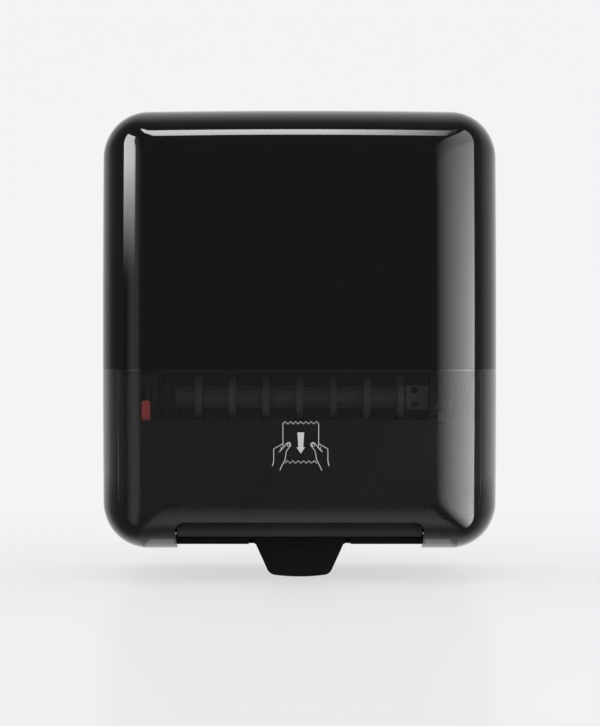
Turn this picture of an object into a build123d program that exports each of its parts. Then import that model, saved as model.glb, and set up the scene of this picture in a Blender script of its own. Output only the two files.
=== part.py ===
from build123d import *
import os
from math import cos, radians, sin

# Wall dispenser for paper towel rolls. Lengths are in millimetres and angles in degrees. X runs to
# the right, Y towards the wall and Z up. The origin is on the wall, at the middle of the body.
# A depth is a distance from the wall, and a height is measured up from the foot of the body.

# Body and clearances
body_width = 337.0
body_height = 374.0
body_depth = 203.0
corner_radius = 40.0
front_corner_radius = 8.0
corner_fall = 3
side_bow = 0.9
top_bow = 1.7
clearance = 0.5
running_fit = 0.05
cut_overrun = 5.0

# Cover: a shell with an oval roll from its sides to its flat front, split at the seam
cover_wall = 3.0
cover_rim_depth = 40.0
rim_draw = 2.0
side_round = 58.0
top_round = 42.0
round_depth = 70.0
round_steps = 8
seam_height = 153.0
lap_height = 8.0
lap_wall = 2.0
lap_gap = 0.15
outlet_side_room = 65.0
outlet_width = body_width - 2 * outlet_side_room
outlet_height = 26.0
outlet_corner_radius = 8.0
foot_corner_width = 36.5
foot_gap_width = body_width - 2 * foot_corner_width
foot_front_room = 53.0
foot_gap_depth = body_depth - foot_front_room
foot_gap_height = 12.0

# Hinge at the foot: a knuckle on the cover between two ears on the back plate, at each side
hinge_side_room = 27.5
hinge_x = body_width / 2 - hinge_side_room
hinge_depth = 30.0
hinge_height = 8.0
hinge_pin_radius = 2.0
knuckle_radius = 6.5
knuckle_width = 12.0
knuckle_tongue = 6.5
knuckle_reach = 30.0
ear_width = 6.5

# Lock in the top of the cover, with a hook that swings behind a keeper pin
lock_depth = 75.0
lock_bush_radius = 9.5
lock_flange_radius = 12.5
lock_flange_height = 1.5
lock_nut_radius = 13.0
lock_nut_height = 2.5
lock_barrel_radius = 7.0
key_slot_length = 8.0
key_slot_width = 1.8
key_slot_depth = 5.0
hook_height = 3.0
hook_boss_radius = 9.0
hook_arm_width = 6.0
hook_band = 4.5
hook_sweep = 44.0
hook_rest_angle = -2.0
latch_screw_radius = 2.0
latch_head_radius = 8.0
latch_head_height = 1.8
latch_screw_length = 6.0
keeper_distance = 19.0
keeper_pin_radius = 2.5
keeper_width = 10.0
keeper_wall = 3.0
keeper_drop = 4.0

# Back plate
back_gap = 0.5
back_panel = 3.0
back_wall = 3.0
back_rim_depth = 44.0
back_foot_depth = 20.0
back_foot_height = 24.0
wall_screw_side_room = 68.5
wall_screw_end_room = 62.0
wall_screw_span_x = body_width - 2 * wall_screw_side_room
wall_screw_span_z = body_height - 2 * wall_screw_end_room
wall_hole_radius = 2.75
wall_boss_radius = 9.0
wall_boss_depth = 7.0
rear_pocket_depth = 1.2
rear_pocket_side_room = 12.0
rear_pocket_end_room = 37.0
rear_pocket_width = wall_screw_span_x - 2 * rear_pocket_side_room
rear_pocket_height = body_height - 2 * rear_pocket_end_room
rear_pocket_radius = 12.0
back_rib_wall = 2.0
back_rib_depth = 3.5
back_rib_pitch = 40.0
back_rib_count = 4
back_rib_rise = 25.0

# Roll and its holder: an arm on each side, sprung outward on an upright pin, with a hub in the core
roll_side_room = 63.5
roll_front_room = 100.0
roll_top_room = 111.0
roll_width = body_width - 2 * roll_side_room
roll_depth = body_depth - roll_front_room
roll_height = body_height - roll_top_room
hub_nose_radius = 18.4
hub_nose_length = 15.0
hub_nose_chamfer = 3.0
hub_flange_radius = 26.0
hub_flange_wall = 3.0
hub_axle_radius = 5.0
hub_bore_radius = 11.0
hub_bore_depth = 10.0
side_play = 0.5
arm_wall = 4.0
arm_head_radius = 24.0
arm_pivot_depth = 14.0
arm_eye_radius = 6.0
arm_eye_height = 28.0
arm_straight_depth = 26.0
arm_pin_radius = 2.5
arm_spring_height = 11.0
arm_spring_wire = 1.4
arm_lug_wall = 5.0
clip_radius = 9.0
clip_wall = 2.0

# Feed drum
drum_front_room = 98.0
drum_depth = body_depth - drum_front_room
drum_height = 72.0
drum_radius = 40.0
drum_wall = 3.0
drum_end_room = 3.0
drum_length = roll_width - 2 * drum_end_room
drum_cap_wall = 2.0
drum_spigot = 5.0
drum_slot_width = 17.0
drum_slot_end_room = 6.0
drum_slot_length = drum_length - 2 * drum_slot_end_room
left_stub_radius = 8.0
right_hub_radius = 14.0
right_hub_wall = 3.0
bush_wall = 4.0
bush_flange = 3.0
bush_flange_wall = 1.5
grip_count = 7
grip_end_room = 15.3
grip_pitch = (drum_length - 2 * grip_end_room) / (grip_count - 1)
grip_width = 8.0
grip_depth = 0.8
grip_rise = 0.3

# Chassis plates, one on each side of the feed, and the pivots that they carry
chassis_roll_room = 6.5
chassis_x = roll_width / 2 + chassis_roll_room
chassis_wall = 4.0
chassis_outer_x = chassis_x + chassis_wall
chassis_front_room = 57.0
chassis_front_depth = body_depth - chassis_front_room
pivot_reach = 55.0
assist_pivot_rise = 46.0
assist_pivot = (drum_depth - pivot_reach, drum_height + assist_pivot_rise)
pinch_pivot_rise = 78.0
pinch_pivot = (drum_depth - pivot_reach, drum_height + pinch_pivot_rise)
chassis_pivot_room = 16.0
chassis_top_height = pinch_pivot[1] + chassis_pivot_room
chassis_bottom_height = 14.0
chassis_shoulder_reach = 33.0
chassis_shoulder_depth = drum_depth - chassis_shoulder_reach
chassis_brow_drop = 18.0
chassis_brow_height = chassis_top_height - chassis_brow_drop
chassis_chin_drop = 12.0
chassis_chin_height = drum_height - chassis_chin_drop
chassis_heel_reach = 19.0
chassis_heel_depth = drum_depth + chassis_heel_reach
chassis_fillet = 8.0
flange_width = 20.0
flange_wall = 3.0
flange_low_height = 24.0
flange_end_room = 8.0
flange_high_height = chassis_top_height - flange_end_room
chassis_screw_room = 16.0
chassis_screw_heights = (
    flange_low_height + chassis_screw_room,
    (flange_low_height + flange_high_height) / 2,
    flange_high_height - chassis_screw_room,
)
screw_radius = 2.0
screw_head_radius = 4.0
screw_head_height = 2.4
screw_bite = 2.0

# Knife: a carrier that turns on a fixed shaft set off the drum's axis, so that the blade comes out
# of the drum's slot below the front and is drawn in behind
knife_offset = 6.0
knife_out_angle = -40.0
knife_rest_angle = 140.0
knife_shaft_radius = 4.0
knife_shaft_web = 2.5
knife_shaft_web_radius = 11.0
knife_web_room = 9.0
knife_web_x = drum_length / 2 - knife_web_room
blade_wall = 1.0
blade_end_room = 11.0
blade_length = drum_length - 2 * blade_end_room
blade_shyness = 7.0
blade_reach = drum_radius + knife_offset - blade_shyness
tooth_pitch = 3.5
tooth_height = 2.6
blade_screw_radius = 1.5
blade_head_radius = 2.8
blade_head_height = 1.6
blade_screw_bite = 4.0
carrier_hub_radius = 7.5
carrier_hub_width = 12.0
carrier_hub_room = 22.0
carrier_hub_pitch = drum_length / 2 - carrier_hub_room
blade_overhang = 9.5
carrier_bar_height = 8.5
carrier_bar_outer = blade_reach - blade_overhang
carrier_bar_inner = carrier_bar_outer - carrier_bar_height
carrier_bar_wall = 7.0
carrier_end_room = 10.0
carrier_length = drum_length - 2 * carrier_end_room
blade_root = carrier_bar_inner + clearance
blade_screw_height = (carrier_bar_inner + carrier_bar_outer) / 2

# Hand wheel on the drum's left stub
wheel_gap = 5.5
wheel_x = chassis_outer_x + wheel_gap
wheel_width = 14.0
wheel_radius = 32.0
wheel_notch_count = 12
wheel_notch_radius = 5.0
wheel_notch_centre = 34.0
wheel_web = 5.0
wheel_rim = 10.0
wheel_hub_radius = 14.0
wheel_screw_head_radius = 11.0
wheel_screw_head = 2.5
wheel_screw_radius = 2.5
wheel_screw_length = 10.0

# Assist: a lobed cam on the drum's right hub, and a sprung lever whose roller rides over the lobe
cam_gap = 5.0
cam_x = chassis_outer_x + cam_gap
cam_width = 7.0
cam_base_radius = 22.0
cam_lobe_radius = 32.0
cam_nose_radius = 6.0
cam_lobe_angle = 200.0
right_hub_lip = 1.5
right_hub_end = cam_x + cam_width + right_hub_lip
assist_pin_radius = 4.0
assist_pin_head = 2.0
assist_pin_head_radius = 7.0
assist_lever_x = right_hub_end
assist_lever_wall = 4.0
assist_eye_radius = 8.0
assist_roller_angle = 112.0
assist_roller_radius = 7.0
assist_roller_width = 6.0
assist_roller_x = cam_x + clearance
assist_roller_pin_radius = 2.5
assist_tip_radius = 6.0
spring_stud_radius = 2.0
spring_radius = 4.0
spring_wire = 1.2
assist_spring_gap = 7.5
assist_spring_x = chassis_outer_x + assist_spring_gap
assist_spring_reach = 12.0
assist_spring_drop = 6.0
assist_spring_span = 60.0
assist_spring_depth = assist_pivot[0] + assist_spring_reach
assist_spring_top = assist_pivot[1] - assist_spring_drop
assist_spring_foot = assist_spring_top - assist_spring_span

# Bracket that holds the knife shaft outside the right chassis plate
bracket_gap = 17.0
bracket_x = chassis_outer_x + bracket_gap
bracket_wall = 4.0
bracket_eye_radius = 10.0
bracket_post_radius = 6.0
bracket_post_height = 26.0
bracket_post_step = 2.0
bracket_rear_reach = 29.0
bracket_front_reach = 7.0
bracket_posts = (
    (drum_depth - bracket_rear_reach, bracket_post_height),
    (drum_depth + bracket_front_reach, bracket_post_height - bracket_post_step),
)
bracket_screw_radius = 2.0

# Pinch: a frame pivoted in the chassis that presses a disc roller onto the drum
pinch_angle = 74.0
nip_gap = 0.3
pinch_pivot_radius = 4.0
pinch_eye_radius = 9.0
pinch_arm_gap = 4.0
pinch_arm_x = chassis_x - pinch_arm_gap
pinch_arm_wall = 3.0
pinch_head_half = 10.2
pinch_head_reach = 12.5
pinch_tie_rise = 21.0
pinch_tie_size = 8.0
pinch_tie_depth = 6.0
disc_count = 7
disc_radius = 18.4
disc_width = 5.7
core_radius = 7.5
core_rib_count = 8
core_rib_rise = 1.5
core_rib_width = 1.8
core_end_gap = 0.6
journal_radius = 3.0
cap_length = 16.0
cap_inner_x = pinch_arm_x - cap_length
cap_wall = 2.0
cap_screw_room = 7.0
cap_screw_x = cap_inner_x + cap_screw_room
cap_screw_rise = 6.0
cap_screw_radius = 2.0
cap_head_radius = 3.0
cap_head_height = 1.2
cap_block_radius = 3.6
cap_block_length = 3.0

# Release lever with its thumb pad, on the left end of the pinch frame's pivot
lever_gap = 8.0
lever_x = chassis_outer_x + lever_gap
lever_wall = 4.0
lever_eye_radius = 8.0
lever_arm_half = 5.0
lever_front_room = 67.0
lever_bend_depth = body_depth - lever_front_room
lever_bend_rise = 45.0
lever_bend_height = drum_height + lever_bend_rise
pad_offset = 7.0
pad_x = lever_x + pad_offset
pad_width = 7.0
pad_length = 18.5
pad_stroke_room = 19.0
pad_front_depth = lever_bend_depth + pad_stroke_room
pad_fillet = 2.5
lever_spring_offset = 9.0
lever_spring_x = lever_x + lever_spring_offset
lever_spring_reach = 16.0
lever_spring_drop = 6.0
lever_spring_span = 40.0
lever_spring_depth = pinch_pivot[0] + lever_spring_reach
lever_spring_top = pinch_pivot[1] - lever_spring_drop
lever_spring_foot = lever_spring_top - lever_spring_span

# Frame round the thumb pad, on the left chassis plate
bezel_side_room = 14.0
bezel_left_x = body_width / 2 - bezel_side_room
bezel_gap = 5.0
bezel_right_x = chassis_outer_x + bezel_gap
bezel_wall = 2.0
bezel_depth = 21.0
bezel_step = 1.0
bezel_front_depth = chassis_front_depth + bezel_step
bezel_back_depth = bezel_front_depth - bezel_depth
bezel_roof_rise = 30.0
bezel_foot_drop = 13.0
bezel_top_height = lever_bend_height + bezel_roof_rise
bezel_bottom_height = lever_bend_height - bezel_foot_drop
bezel_slot_side = 1.5
bezel_slot_rise = 20.0
bezel_slot_top = lever_bend_height + bezel_slot_rise
bezel_tab_half = 6.0
bezel_peg_radius = 2.0
bezel_tab_room = 8.0
bezel_tab_depth = chassis_front_depth - bezel_tab_room
bezel_tab_rise = 11.0
bezel_tab_height = lever_bend_height + bezel_tab_rise

# Guard in front of the drum, ending in the outlet's upper lip
guard_wall = 2.5
guard_side_room = 18.5
guard_width = body_width - 2 * guard_side_room
guard_top_room = 42.0
guard_top_depth = body_depth - guard_top_room
guard_top_height = 110.0
guard_waist_room = 30.0
guard_waist_depth = body_depth - guard_waist_room
guard_waist_height = 42.0
guard_lip_room = 24.0
guard_lip_depth = body_depth - guard_lip_room
guard_lip_height = 27.0
guard_lip_radius = 12.0
guard_lip_turn = 70.0
guard_flange = 4.0
guard_step_height = 40.0
guard_lip_gap = 1.0
guard_lip_width = outlet_width - 2 * guard_lip_gap
guard_tab_wall = 2.5
guard_tab_rise = 6.0
guard_tab_height = drum_height + guard_tab_rise
guard_tab_half = 7.0
guard_tab_room = 6.0
guard_tab_depth = chassis_front_depth - guard_tab_room

# Chute under the drum: a sloping floor with guide ribs, and a tongue that hangs from its front edge
chute_cheek_wall = 5.0
chute_half = chassis_x - chute_cheek_wall
chute_width = 2 * chute_half
chute_wall = 2.2
chute_front_depth = foot_gap_depth
chute_front_height = 6.5
chute_length = 78.0
chute_back_depth = chute_front_depth - chute_length
chute_back_height = 20.0
chute_rib_count = 24
chute_rib_room = 5.76
chute_rib_pitch = (chute_width - 2 * chute_rib_room) / (chute_rib_count - 1)
chute_rib_wall = 1.2
chute_sill_wall = 3.0
chute_sill_height = 10.2
chute_rib_height = 6.5
chute_rib_length = 50.0
chute_rib_back_depth = chute_front_depth - chute_rib_length
chute_cheek_foot = 12.0
chute_cheek_height = 26.0
chute_cheek_length = 48.0
chute_cheek_room = 12.0
chute_cheek_front_depth = chute_front_depth - chute_cheek_room
chute_cheek_back_depth = chute_cheek_front_depth - chute_cheek_length
tongue_wall = 3.0
tongue_top_half = 38.3
tongue_foot_half = 25.6
tongue_drop = 29.8
tongue_sag = 2.0
tongue_fillet = 8.0
notch_gap = 5.0
notch_half = tongue_top_half + notch_gap
chute_screw_room = 6.0
chute_screw_depths = (
    chute_cheek_back_depth + chute_screw_room,
    chute_cheek_front_depth - chute_screw_room,
)
chute_screw_height = 20.0

floor_z = -body_height / 2
round_start = body_depth - round_depth
knife_direction = (-cos(radians(knife_rest_angle)), sin(radians(knife_rest_angle)))


def at(depth, height):
    """A point of the side view as Y and Z."""
    return (-depth, floor_z + height)


def swung(centre, angle, distance):
    """A depth and height at a distance from a centre, at an angle up from the front."""
    return (centre[0] + distance * cos(radians(angle)), centre[1] + distance * sin(radians(angle)))


def rim_inset(depth):
    """How far the cover's sides are drawn in behind the start of its roll."""
    return rim_draw * (round_start - depth) / (round_start - cover_rim_depth)


def turned_plane(x, centre, direction):
    """A plane across the X axis at a centre of the side view, with its own X along a direction."""
    return Plane(origin=(x, *at(*centre)), x_dir=(0, *direction), z_dir=(1, 0, 0))


def body_outline(depth, side_inset, top_inset, radius):
    """The body's outline at a depth, with bowed sides and top, drawn in by the two insets."""
    half_width = body_width / 2 - side_inset
    half_height = body_height / 2 - top_inset
    edge = half_width - side_bow
    brow = half_height - top_bow
    with BuildSketch(Plane.XZ.offset(depth)) as outline:
        with BuildLine():
            ThreePointArc((-edge, -half_height), (-half_width, 0), (-edge, brow))
            ThreePointArc((-edge, brow), (0, half_height), (edge, brow))
            ThreePointArc((edge, brow), (half_width, 0), (edge, -half_height))
            Line((edge, -half_height), (-edge, -half_height))
        make_face()
        fillet(outline.vertices(), radius)
    return outline.sketch


def cover_block(inset, rear_depth):
    """The cover's outer form, drawn in by an inset, from a rear depth to its front."""
    radius = corner_radius - inset
    front_radius = front_corner_radius - inset
    rear = rim_inset(rear_depth) + inset
    sections = []
    for step in range(round_steps + 1):
        angle = radians(90 * step / round_steps)
        drawn = 1 - cos(angle)
        side = inset + (side_round - inset) * drawn
        top = inset + (top_round - inset) * drawn
        depth = round_start + (round_depth - inset) * sin(angle)
        corner = front_radius + (radius - front_radius) * cos(angle) ** corner_fall
        sections.append(body_outline(depth, side, top, corner))
    with BuildPart() as block:
        loft([body_outline(rear_depth, rear, rear, radius), sections[0]], ruled=True)
        loft(sections)
    return block.part


def rod(x_from, x_to, place, radius):
    """A round bar along X at a depth and height of the side view."""
    with BuildPart() as bar:
        with BuildSketch(Plane.YZ.offset(x_from)):
            with Locations(at(*place)):
                Circle(radius)
        extrude(amount=x_to - x_from)
    return bar.part


def screw(origin, direction, radius, length, head_radius, head_height):
    """A screw whose head sits on a plane at the origin and whose shank runs against the direction."""
    plane = Plane(origin=origin, z_dir=direction)
    with BuildPart() as fastener:
        with BuildSketch(plane):
            Circle(head_radius)
        extrude(amount=head_height)
        with BuildSketch(plane):
            Circle(radius)
        extrude(amount=-length)
        with BuildSketch(plane.offset(head_height)):
            Rectangle(head_radius, head_radius / 4)
            Rectangle(head_radius / 4, head_radius)
        extrude(amount=-head_height / 2, mode=Mode.SUBTRACT)
    return fastener.part


drum_axis = (drum_depth, drum_height)
knife_axis = swung(drum_axis, knife_out_angle, knife_offset)
roller_axis = swung(drum_axis, pinch_angle, drum_radius + grip_rise + nip_gap + disc_radius)
assist_roller_axis = swung(
    drum_axis, assist_roller_angle, cam_lobe_radius + assist_roller_radius + clearance
)
roll_axis = (roll_depth, roll_height)
hinge_axis = (hinge_depth, hinge_height)
left_stub_end = wheel_x + wheel_width
knuckle_half = knuckle_width / 2
ear_centre = knuckle_half + clearance + ear_width / 2
arm_inner_x = roll_width / 2 + side_play + hub_flange_wall + clearance
arm_centre_x = arm_inner_x + arm_wall / 2
arm_foot = roll_height - (arm_eye_height + clearance + arm_spring_height) / 2
arm_spring_foot = arm_foot + arm_eye_height + clearance
arm_lug_heights = (
    arm_foot - clearance - arm_lug_wall,
    arm_spring_foot + arm_spring_height + clearance,
)
back_inset = rim_draw + cover_wall + back_gap
flange_screw_x = chassis_outer_x + flange_width / 2

# Lock heights, from the cover's sloping top at the front and back of the lock's rings
lock_flange_z = body_height / 2 - rim_inset(lock_depth + lock_flange_radius)
lock_nut_z = body_height / 2 - rim_inset(lock_depth - lock_nut_radius) - cover_wall - lap_gap
lock_bush_foot_z = lock_nut_z - lock_nut_height
hook_top_z = lock_bush_foot_z - clearance
hook_foot_z = hook_top_z - hook_height
hook_inner_radius = keeper_distance + keeper_pin_radius + 2 * clearance
hook_mid_radius = hook_inner_radius + hook_band / 2
keeper_z = hook_foot_z - keeper_drop - keeper_wall
keeper_pin_length = keeper_drop + hook_height

# Back plate: a shallow tray against the wall that carries the hinge ears, arm lugs and keeper
with BuildPart() as back_plate:
    back_radius = corner_radius - cover_wall
    extrude(body_outline(0, back_inset, back_inset, back_radius), amount=back_rim_depth)
    tray_inset = back_inset + back_wall
    extrude(
        body_outline(back_panel, tray_inset, tray_inset, back_radius - back_wall),
        amount=back_rim_depth,
        mode=Mode.SUBTRACT,
    )
    with BuildSketch(Plane.XZ.offset(back_foot_depth)):
        with Locations((0, floor_z + back_foot_height / 2)):
            Rectangle(body_width, back_foot_height)
    extrude(amount=back_rim_depth, mode=Mode.SUBTRACT)
    with BuildSketch(Plane.XZ):
        RectangleRounded(rear_pocket_width, rear_pocket_height, rear_pocket_radius)
    extrude(amount=rear_pocket_depth, mode=Mode.SUBTRACT)
    with BuildSketch(Plane.XZ.offset(back_panel)):
        with Locations((0, back_rib_rise)):
            with GridLocations(0, back_rib_pitch, 1, back_rib_count):
                Rectangle(roll_width - 4 * wall_boss_radius, back_rib_wall)
    extrude(amount=back_rib_depth)
    with BuildSketch(Plane.XZ.offset(back_panel)):
        with GridLocations(wall_screw_span_x, wall_screw_span_z, 2, 2):
            Circle(wall_boss_radius)
    extrude(amount=wall_boss_depth - back_panel)
    with BuildSketch(Plane.XZ):
        with GridLocations(wall_screw_span_x, wall_screw_span_z, 2, 2):
            Circle(wall_hole_radius)
    extrude(amount=wall_boss_depth, mode=Mode.SUBTRACT)
    for side in (-1, 1):
        for ear in (-ear_centre, ear_centre):
            with BuildSketch(Plane.YZ.offset(side * hinge_x + ear - ear_width / 2)):
                with Locations(at(*hinge_axis)):
                    Circle(knuckle_radius)
                Polygon(
                    at(back_panel / 2, hinge_height - knuckle_radius),
                    at(hinge_depth, hinge_height - knuckle_radius),
                    at(hinge_depth, hinge_height + knuckle_radius),
                    at(back_panel / 2, hinge_height + 2 * knuckle_radius),
                    align=None,
                )
            extrude(amount=ear_width)
        for lug in arm_lug_heights:
            with BuildSketch(Plane.XY.offset(floor_z + lug)):
                with Locations((side * arm_centre_x, -arm_pivot_depth)):
                    Circle(arm_eye_radius)
                with Locations((side * arm_centre_x, -arm_pivot_depth / 2 - back_panel / 4)):
                    Rectangle(2 * arm_eye_radius, arm_pivot_depth - back_panel / 2)
            extrude(amount=arm_lug_wall)
        with BuildSketch(Plane.XY.offset(floor_z + arm_lug_heights[0])):
            with Locations((side * arm_centre_x, -arm_pivot_depth)):
                Circle(arm_pin_radius + running_fit)
        extrude(amount=arm_lug_heights[1] + arm_lug_wall - arm_lug_heights[0], mode=Mode.SUBTRACT)
    with BuildSketch(Plane.YZ.offset(-body_width / 2)):
        with Locations(at(*hinge_axis)):
            Circle(hinge_pin_radius + running_fit)
    extrude(amount=body_width, mode=Mode.SUBTRACT)
    keeper_depth = lock_depth - keeper_distance
    keeper_front = keeper_depth + keeper_width / 2
    with BuildSketch(Plane.YZ.offset(-keeper_width / 2)):
        Polygon(
            (-back_panel / 2, keeper_z + keeper_wall),
            (-keeper_front, keeper_z + keeper_wall),
            (-keeper_front, keeper_z),
            (-back_rim_depth, keeper_z),
            (-back_panel / 2, keeper_z - back_rim_depth / 2),
            align=None,
        )
    extrude(amount=keeper_width)
    with BuildSketch(Plane.XY.offset(keeper_z + keeper_wall)):
        with Locations((0, -keeper_depth)):
            Circle(keeper_pin_radius)
    extrude(amount=keeper_pin_length)
    with BuildSketch(Plane.XZ.offset(back_panel)):
        for side in (-1, 1):
            with Locations(*[(side * flange_screw_x, floor_z + rise) for rise in chassis_screw_heights]):
                Circle(screw_radius + running_fit)
    extrude(amount=-screw_bite - running_fit, mode=Mode.SUBTRACT)

# Hinge pins, fixed in the ears
with BuildPart() as hinge_pins:
    hinge_pin_half = ear_centre + ear_width / 2
    for side in (-1, 1):
        add(
            rod(
                side * hinge_x - hinge_pin_half,
                side * hinge_x + hinge_pin_half,
                hinge_axis,
                hinge_pin_radius,
            )
        )

# Cover shell, before it is divided at the seam
with BuildPart() as cover_shell:
    add(cover_block(0, cover_rim_depth))
    add(cover_block(cover_wall, cover_rim_depth - cut_overrun), mode=Mode.SUBTRACT)
seam_plane = Plane.XY.offset(floor_z + seam_height)
lap_rear_depth = back_rim_depth + 2 * clearance

# Upper cover, opaque, with the lock's hole in its top
with BuildPart() as cover_upper:
    add(cover_shell.part)
    split(bisect_by=seam_plane, keep=Keep.TOP)
    with BuildSketch(Plane.XY.offset(body_height / 2 + cut_overrun)):
        with Locations((0, -lock_depth)):
            Circle(lock_bush_radius + running_fit)
    extrude(amount=-top_round, mode=Mode.SUBTRACT)

# Lap band that reaches up behind the upper cover and carries it
with BuildPart() as lap_band:
    add(cover_block(cover_wall + lap_gap, lap_rear_depth))
    add(cover_block(cover_wall + lap_gap + lap_wall, cover_rim_depth - cut_overrun), mode=Mode.SUBTRACT)
    split(bisect_by=seam_plane, keep=Keep.TOP)
    split(bisect_by=seam_plane.offset(lap_height), keep=Keep.BOTTOM)

# Foot of the lap band, joined to the window's inner wall
with BuildPart() as lap_foot:
    add(cover_block(cover_wall / 2, lap_rear_depth))
    add(cover_block(cover_wall + lap_gap + lap_wall, cover_rim_depth - cut_overrun), mode=Mode.SUBTRACT)
    split(bisect_by=seam_plane, keep=Keep.BOTTOM)
    split(bisect_by=seam_plane.offset(-lap_wall), keep=Keep.TOP)

# Smoked window: the lower cover, open at the outlet, with the hinge knuckles
with BuildPart() as cover_window:
    add(cover_shell.part)
    split(bisect_by=seam_plane, keep=Keep.BOTTOM)
    add(lap_foot.part)
    add(lap_band.part)
    with BuildSketch(Plane.XZ) as outlet_outline:
        with Locations((0, floor_z)):
            Rectangle(outlet_width, 2 * outlet_height)
        fillet(outlet_outline.vertices().group_by(Axis.Z)[-1], outlet_corner_radius)
    extrude(amount=body_depth + cut_overrun, mode=Mode.SUBTRACT)
    with BuildSketch(Plane.XZ):
        with Locations((0, floor_z)):
            Rectangle(foot_gap_width, 2 * foot_gap_height)
    extrude(amount=foot_gap_depth, mode=Mode.SUBTRACT)
    for side in (-1, 1):
        with BuildSketch(Plane.YZ.offset(side * hinge_x - knuckle_half)):
            with Locations(at(*hinge_axis)):
                Circle(knuckle_radius)
            with Locations(at(hinge_depth + knuckle_reach / 2, hinge_height)):
                Rectangle(knuckle_reach, knuckle_tongue)
        extrude(amount=knuckle_width)
    with BuildSketch(Plane.YZ.offset(-body_width / 2)):
        with Locations(at(*hinge_axis)):
            Circle(hinge_pin_radius + running_fit)
    extrude(amount=body_width, mode=Mode.SUBTRACT)

# Lock bush: a flanged sleeve through the cover's top, with a nut inside
with BuildPart() as lock_bush:
    with BuildSketch(Plane.XY.offset(lock_bush_foot_z)):
        with Locations((0, -lock_depth)):
            Circle(lock_bush_radius)
    extrude(amount=lock_flange_z - lock_bush_foot_z)
    with BuildSketch(Plane.XY.offset(lock_flange_z)):
        with Locations((0, -lock_depth)):
            Circle(lock_flange_radius)
    extrude(amount=lock_flange_height)
    with BuildSketch(Plane.XY.offset(lock_bush_foot_z)):
        with Locations((0, -lock_depth)):
            RegularPolygon(lock_nut_radius, 6)
    extrude(amount=lock_nut_height)
    with BuildSketch(Plane.XY.offset(lock_bush_foot_z)):
        with Locations((0, -lock_depth)):
            Circle(lock_barrel_radius + running_fit)
    extrude(amount=body_height, mode=Mode.SUBTRACT)

# Lock barrel with its key slot
with BuildPart() as lock_barrel:
    with BuildSketch(Plane.XY.offset(hook_foot_z)):
        with Locations((0, -lock_depth)):
            Circle(lock_barrel_radius)
    extrude(amount=lock_flange_z + lock_flange_height - hook_foot_z)
    with BuildSketch(Plane.XY.offset(lock_flange_z + lock_flange_height)):
        with Locations((0, -lock_depth)):
            Rectangle(key_slot_length, key_slot_width)
    extrude(amount=-key_slot_depth, mode=Mode.SUBTRACT)
    with BuildSketch(Plane.XY.offset(hook_foot_z)):
        with Locations((0, -lock_depth)):
            Circle(latch_screw_radius + running_fit)
    extrude(amount=latch_screw_length, mode=Mode.SUBTRACT)

# Latch hook: an arm from the barrel with a curved finger
with BuildPart() as latch_hook:
    hook_plane = Plane(
        origin=(0, -lock_depth, hook_foot_z),
        x_dir=(cos(radians(hook_rest_angle)), sin(radians(hook_rest_angle)), 0),
        z_dir=(0, 0, 1),
    )
    with BuildSketch(hook_plane):
        Circle(hook_boss_radius)
    extrude(amount=hook_height)
    with BuildSketch(hook_plane.rotated((0, 0, -hook_sweep / 2))):
        with Locations((hook_mid_radius / 2, 0)):
            Rectangle(hook_mid_radius, hook_arm_width)
    extrude(amount=hook_height)
    with BuildSketch(hook_plane):
        with BuildLine():
            CenterArc((0, 0), hook_mid_radius, -hook_sweep / 2, hook_sweep)
        trace(line_width=hook_band)
    extrude(amount=hook_height)
    with BuildSketch(hook_plane):
        Circle(lock_barrel_radius + running_fit)
    extrude(amount=hook_height, mode=Mode.SUBTRACT)

# Latch screw in the barrel's foot
with BuildPart() as latch_screw:
    add(
        screw(
            (0, -lock_depth, hook_foot_z),
            (0, 0, -1),
            latch_screw_radius,
            latch_screw_length - clearance,
            latch_head_radius,
            latch_head_height,
        )
    )


def chassis_plate(side, bush_radius):
    """A side plate of the feed, with a rear flange and the seats of the bush and the pivots."""
    with BuildPart() as plate:
        with BuildSketch(Plane.YZ.offset(side * chassis_x)) as profile:
            Polygon(
                at(back_panel, chassis_bottom_height),
                at(back_panel, chassis_top_height),
                at(chassis_shoulder_depth, chassis_top_height),
                at(chassis_front_depth, chassis_brow_height),
                at(chassis_front_depth, chassis_chin_height),
                at(chassis_heel_depth, chassis_bottom_height),
                align=None,
            )
            fillet(profile.vertices().group_by(Axis.Y)[:-1], chassis_fillet)
        extrude(amount=side * chassis_wall)
        with BuildSketch(Plane.XZ.offset(back_panel)):
            with Locations((side * flange_screw_x, floor_z + (flange_low_height + flange_high_height) / 2)):
                Rectangle(flange_width, flange_high_height - flange_low_height)
        extrude(amount=flange_wall)
        with BuildSketch(Plane.XZ.offset(back_panel)):
            with Locations(*[(side * flange_screw_x, floor_z + rise) for rise in chassis_screw_heights]):
                Circle(screw_radius + running_fit)
        extrude(amount=flange_wall, mode=Mode.SUBTRACT)
        with BuildSketch(Plane.YZ.offset(side * chassis_x)):
            with Locations(at(*drum_axis)):
                Circle(bush_radius + running_fit)
            with Locations(at(*pinch_pivot)):
                Circle(pinch_pivot_radius + running_fit)
            with Locations(*[at(depth, chute_screw_height) for depth in chute_screw_depths]):
                Circle(screw_radius + running_fit)
            with Locations(at(guard_tab_depth, guard_tab_height)):
                Circle(screw_radius + running_fit)
        extrude(amount=side * chassis_wall, mode=Mode.SUBTRACT)
    return plate.part


left_bush_radius = left_stub_radius + running_fit + bush_wall
right_bush_radius = right_hub_radius + running_fit + bush_wall
lever_stud = (lever_spring_depth, lever_spring_foot)
assist_stud = (assist_spring_depth, assist_spring_foot)

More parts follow.
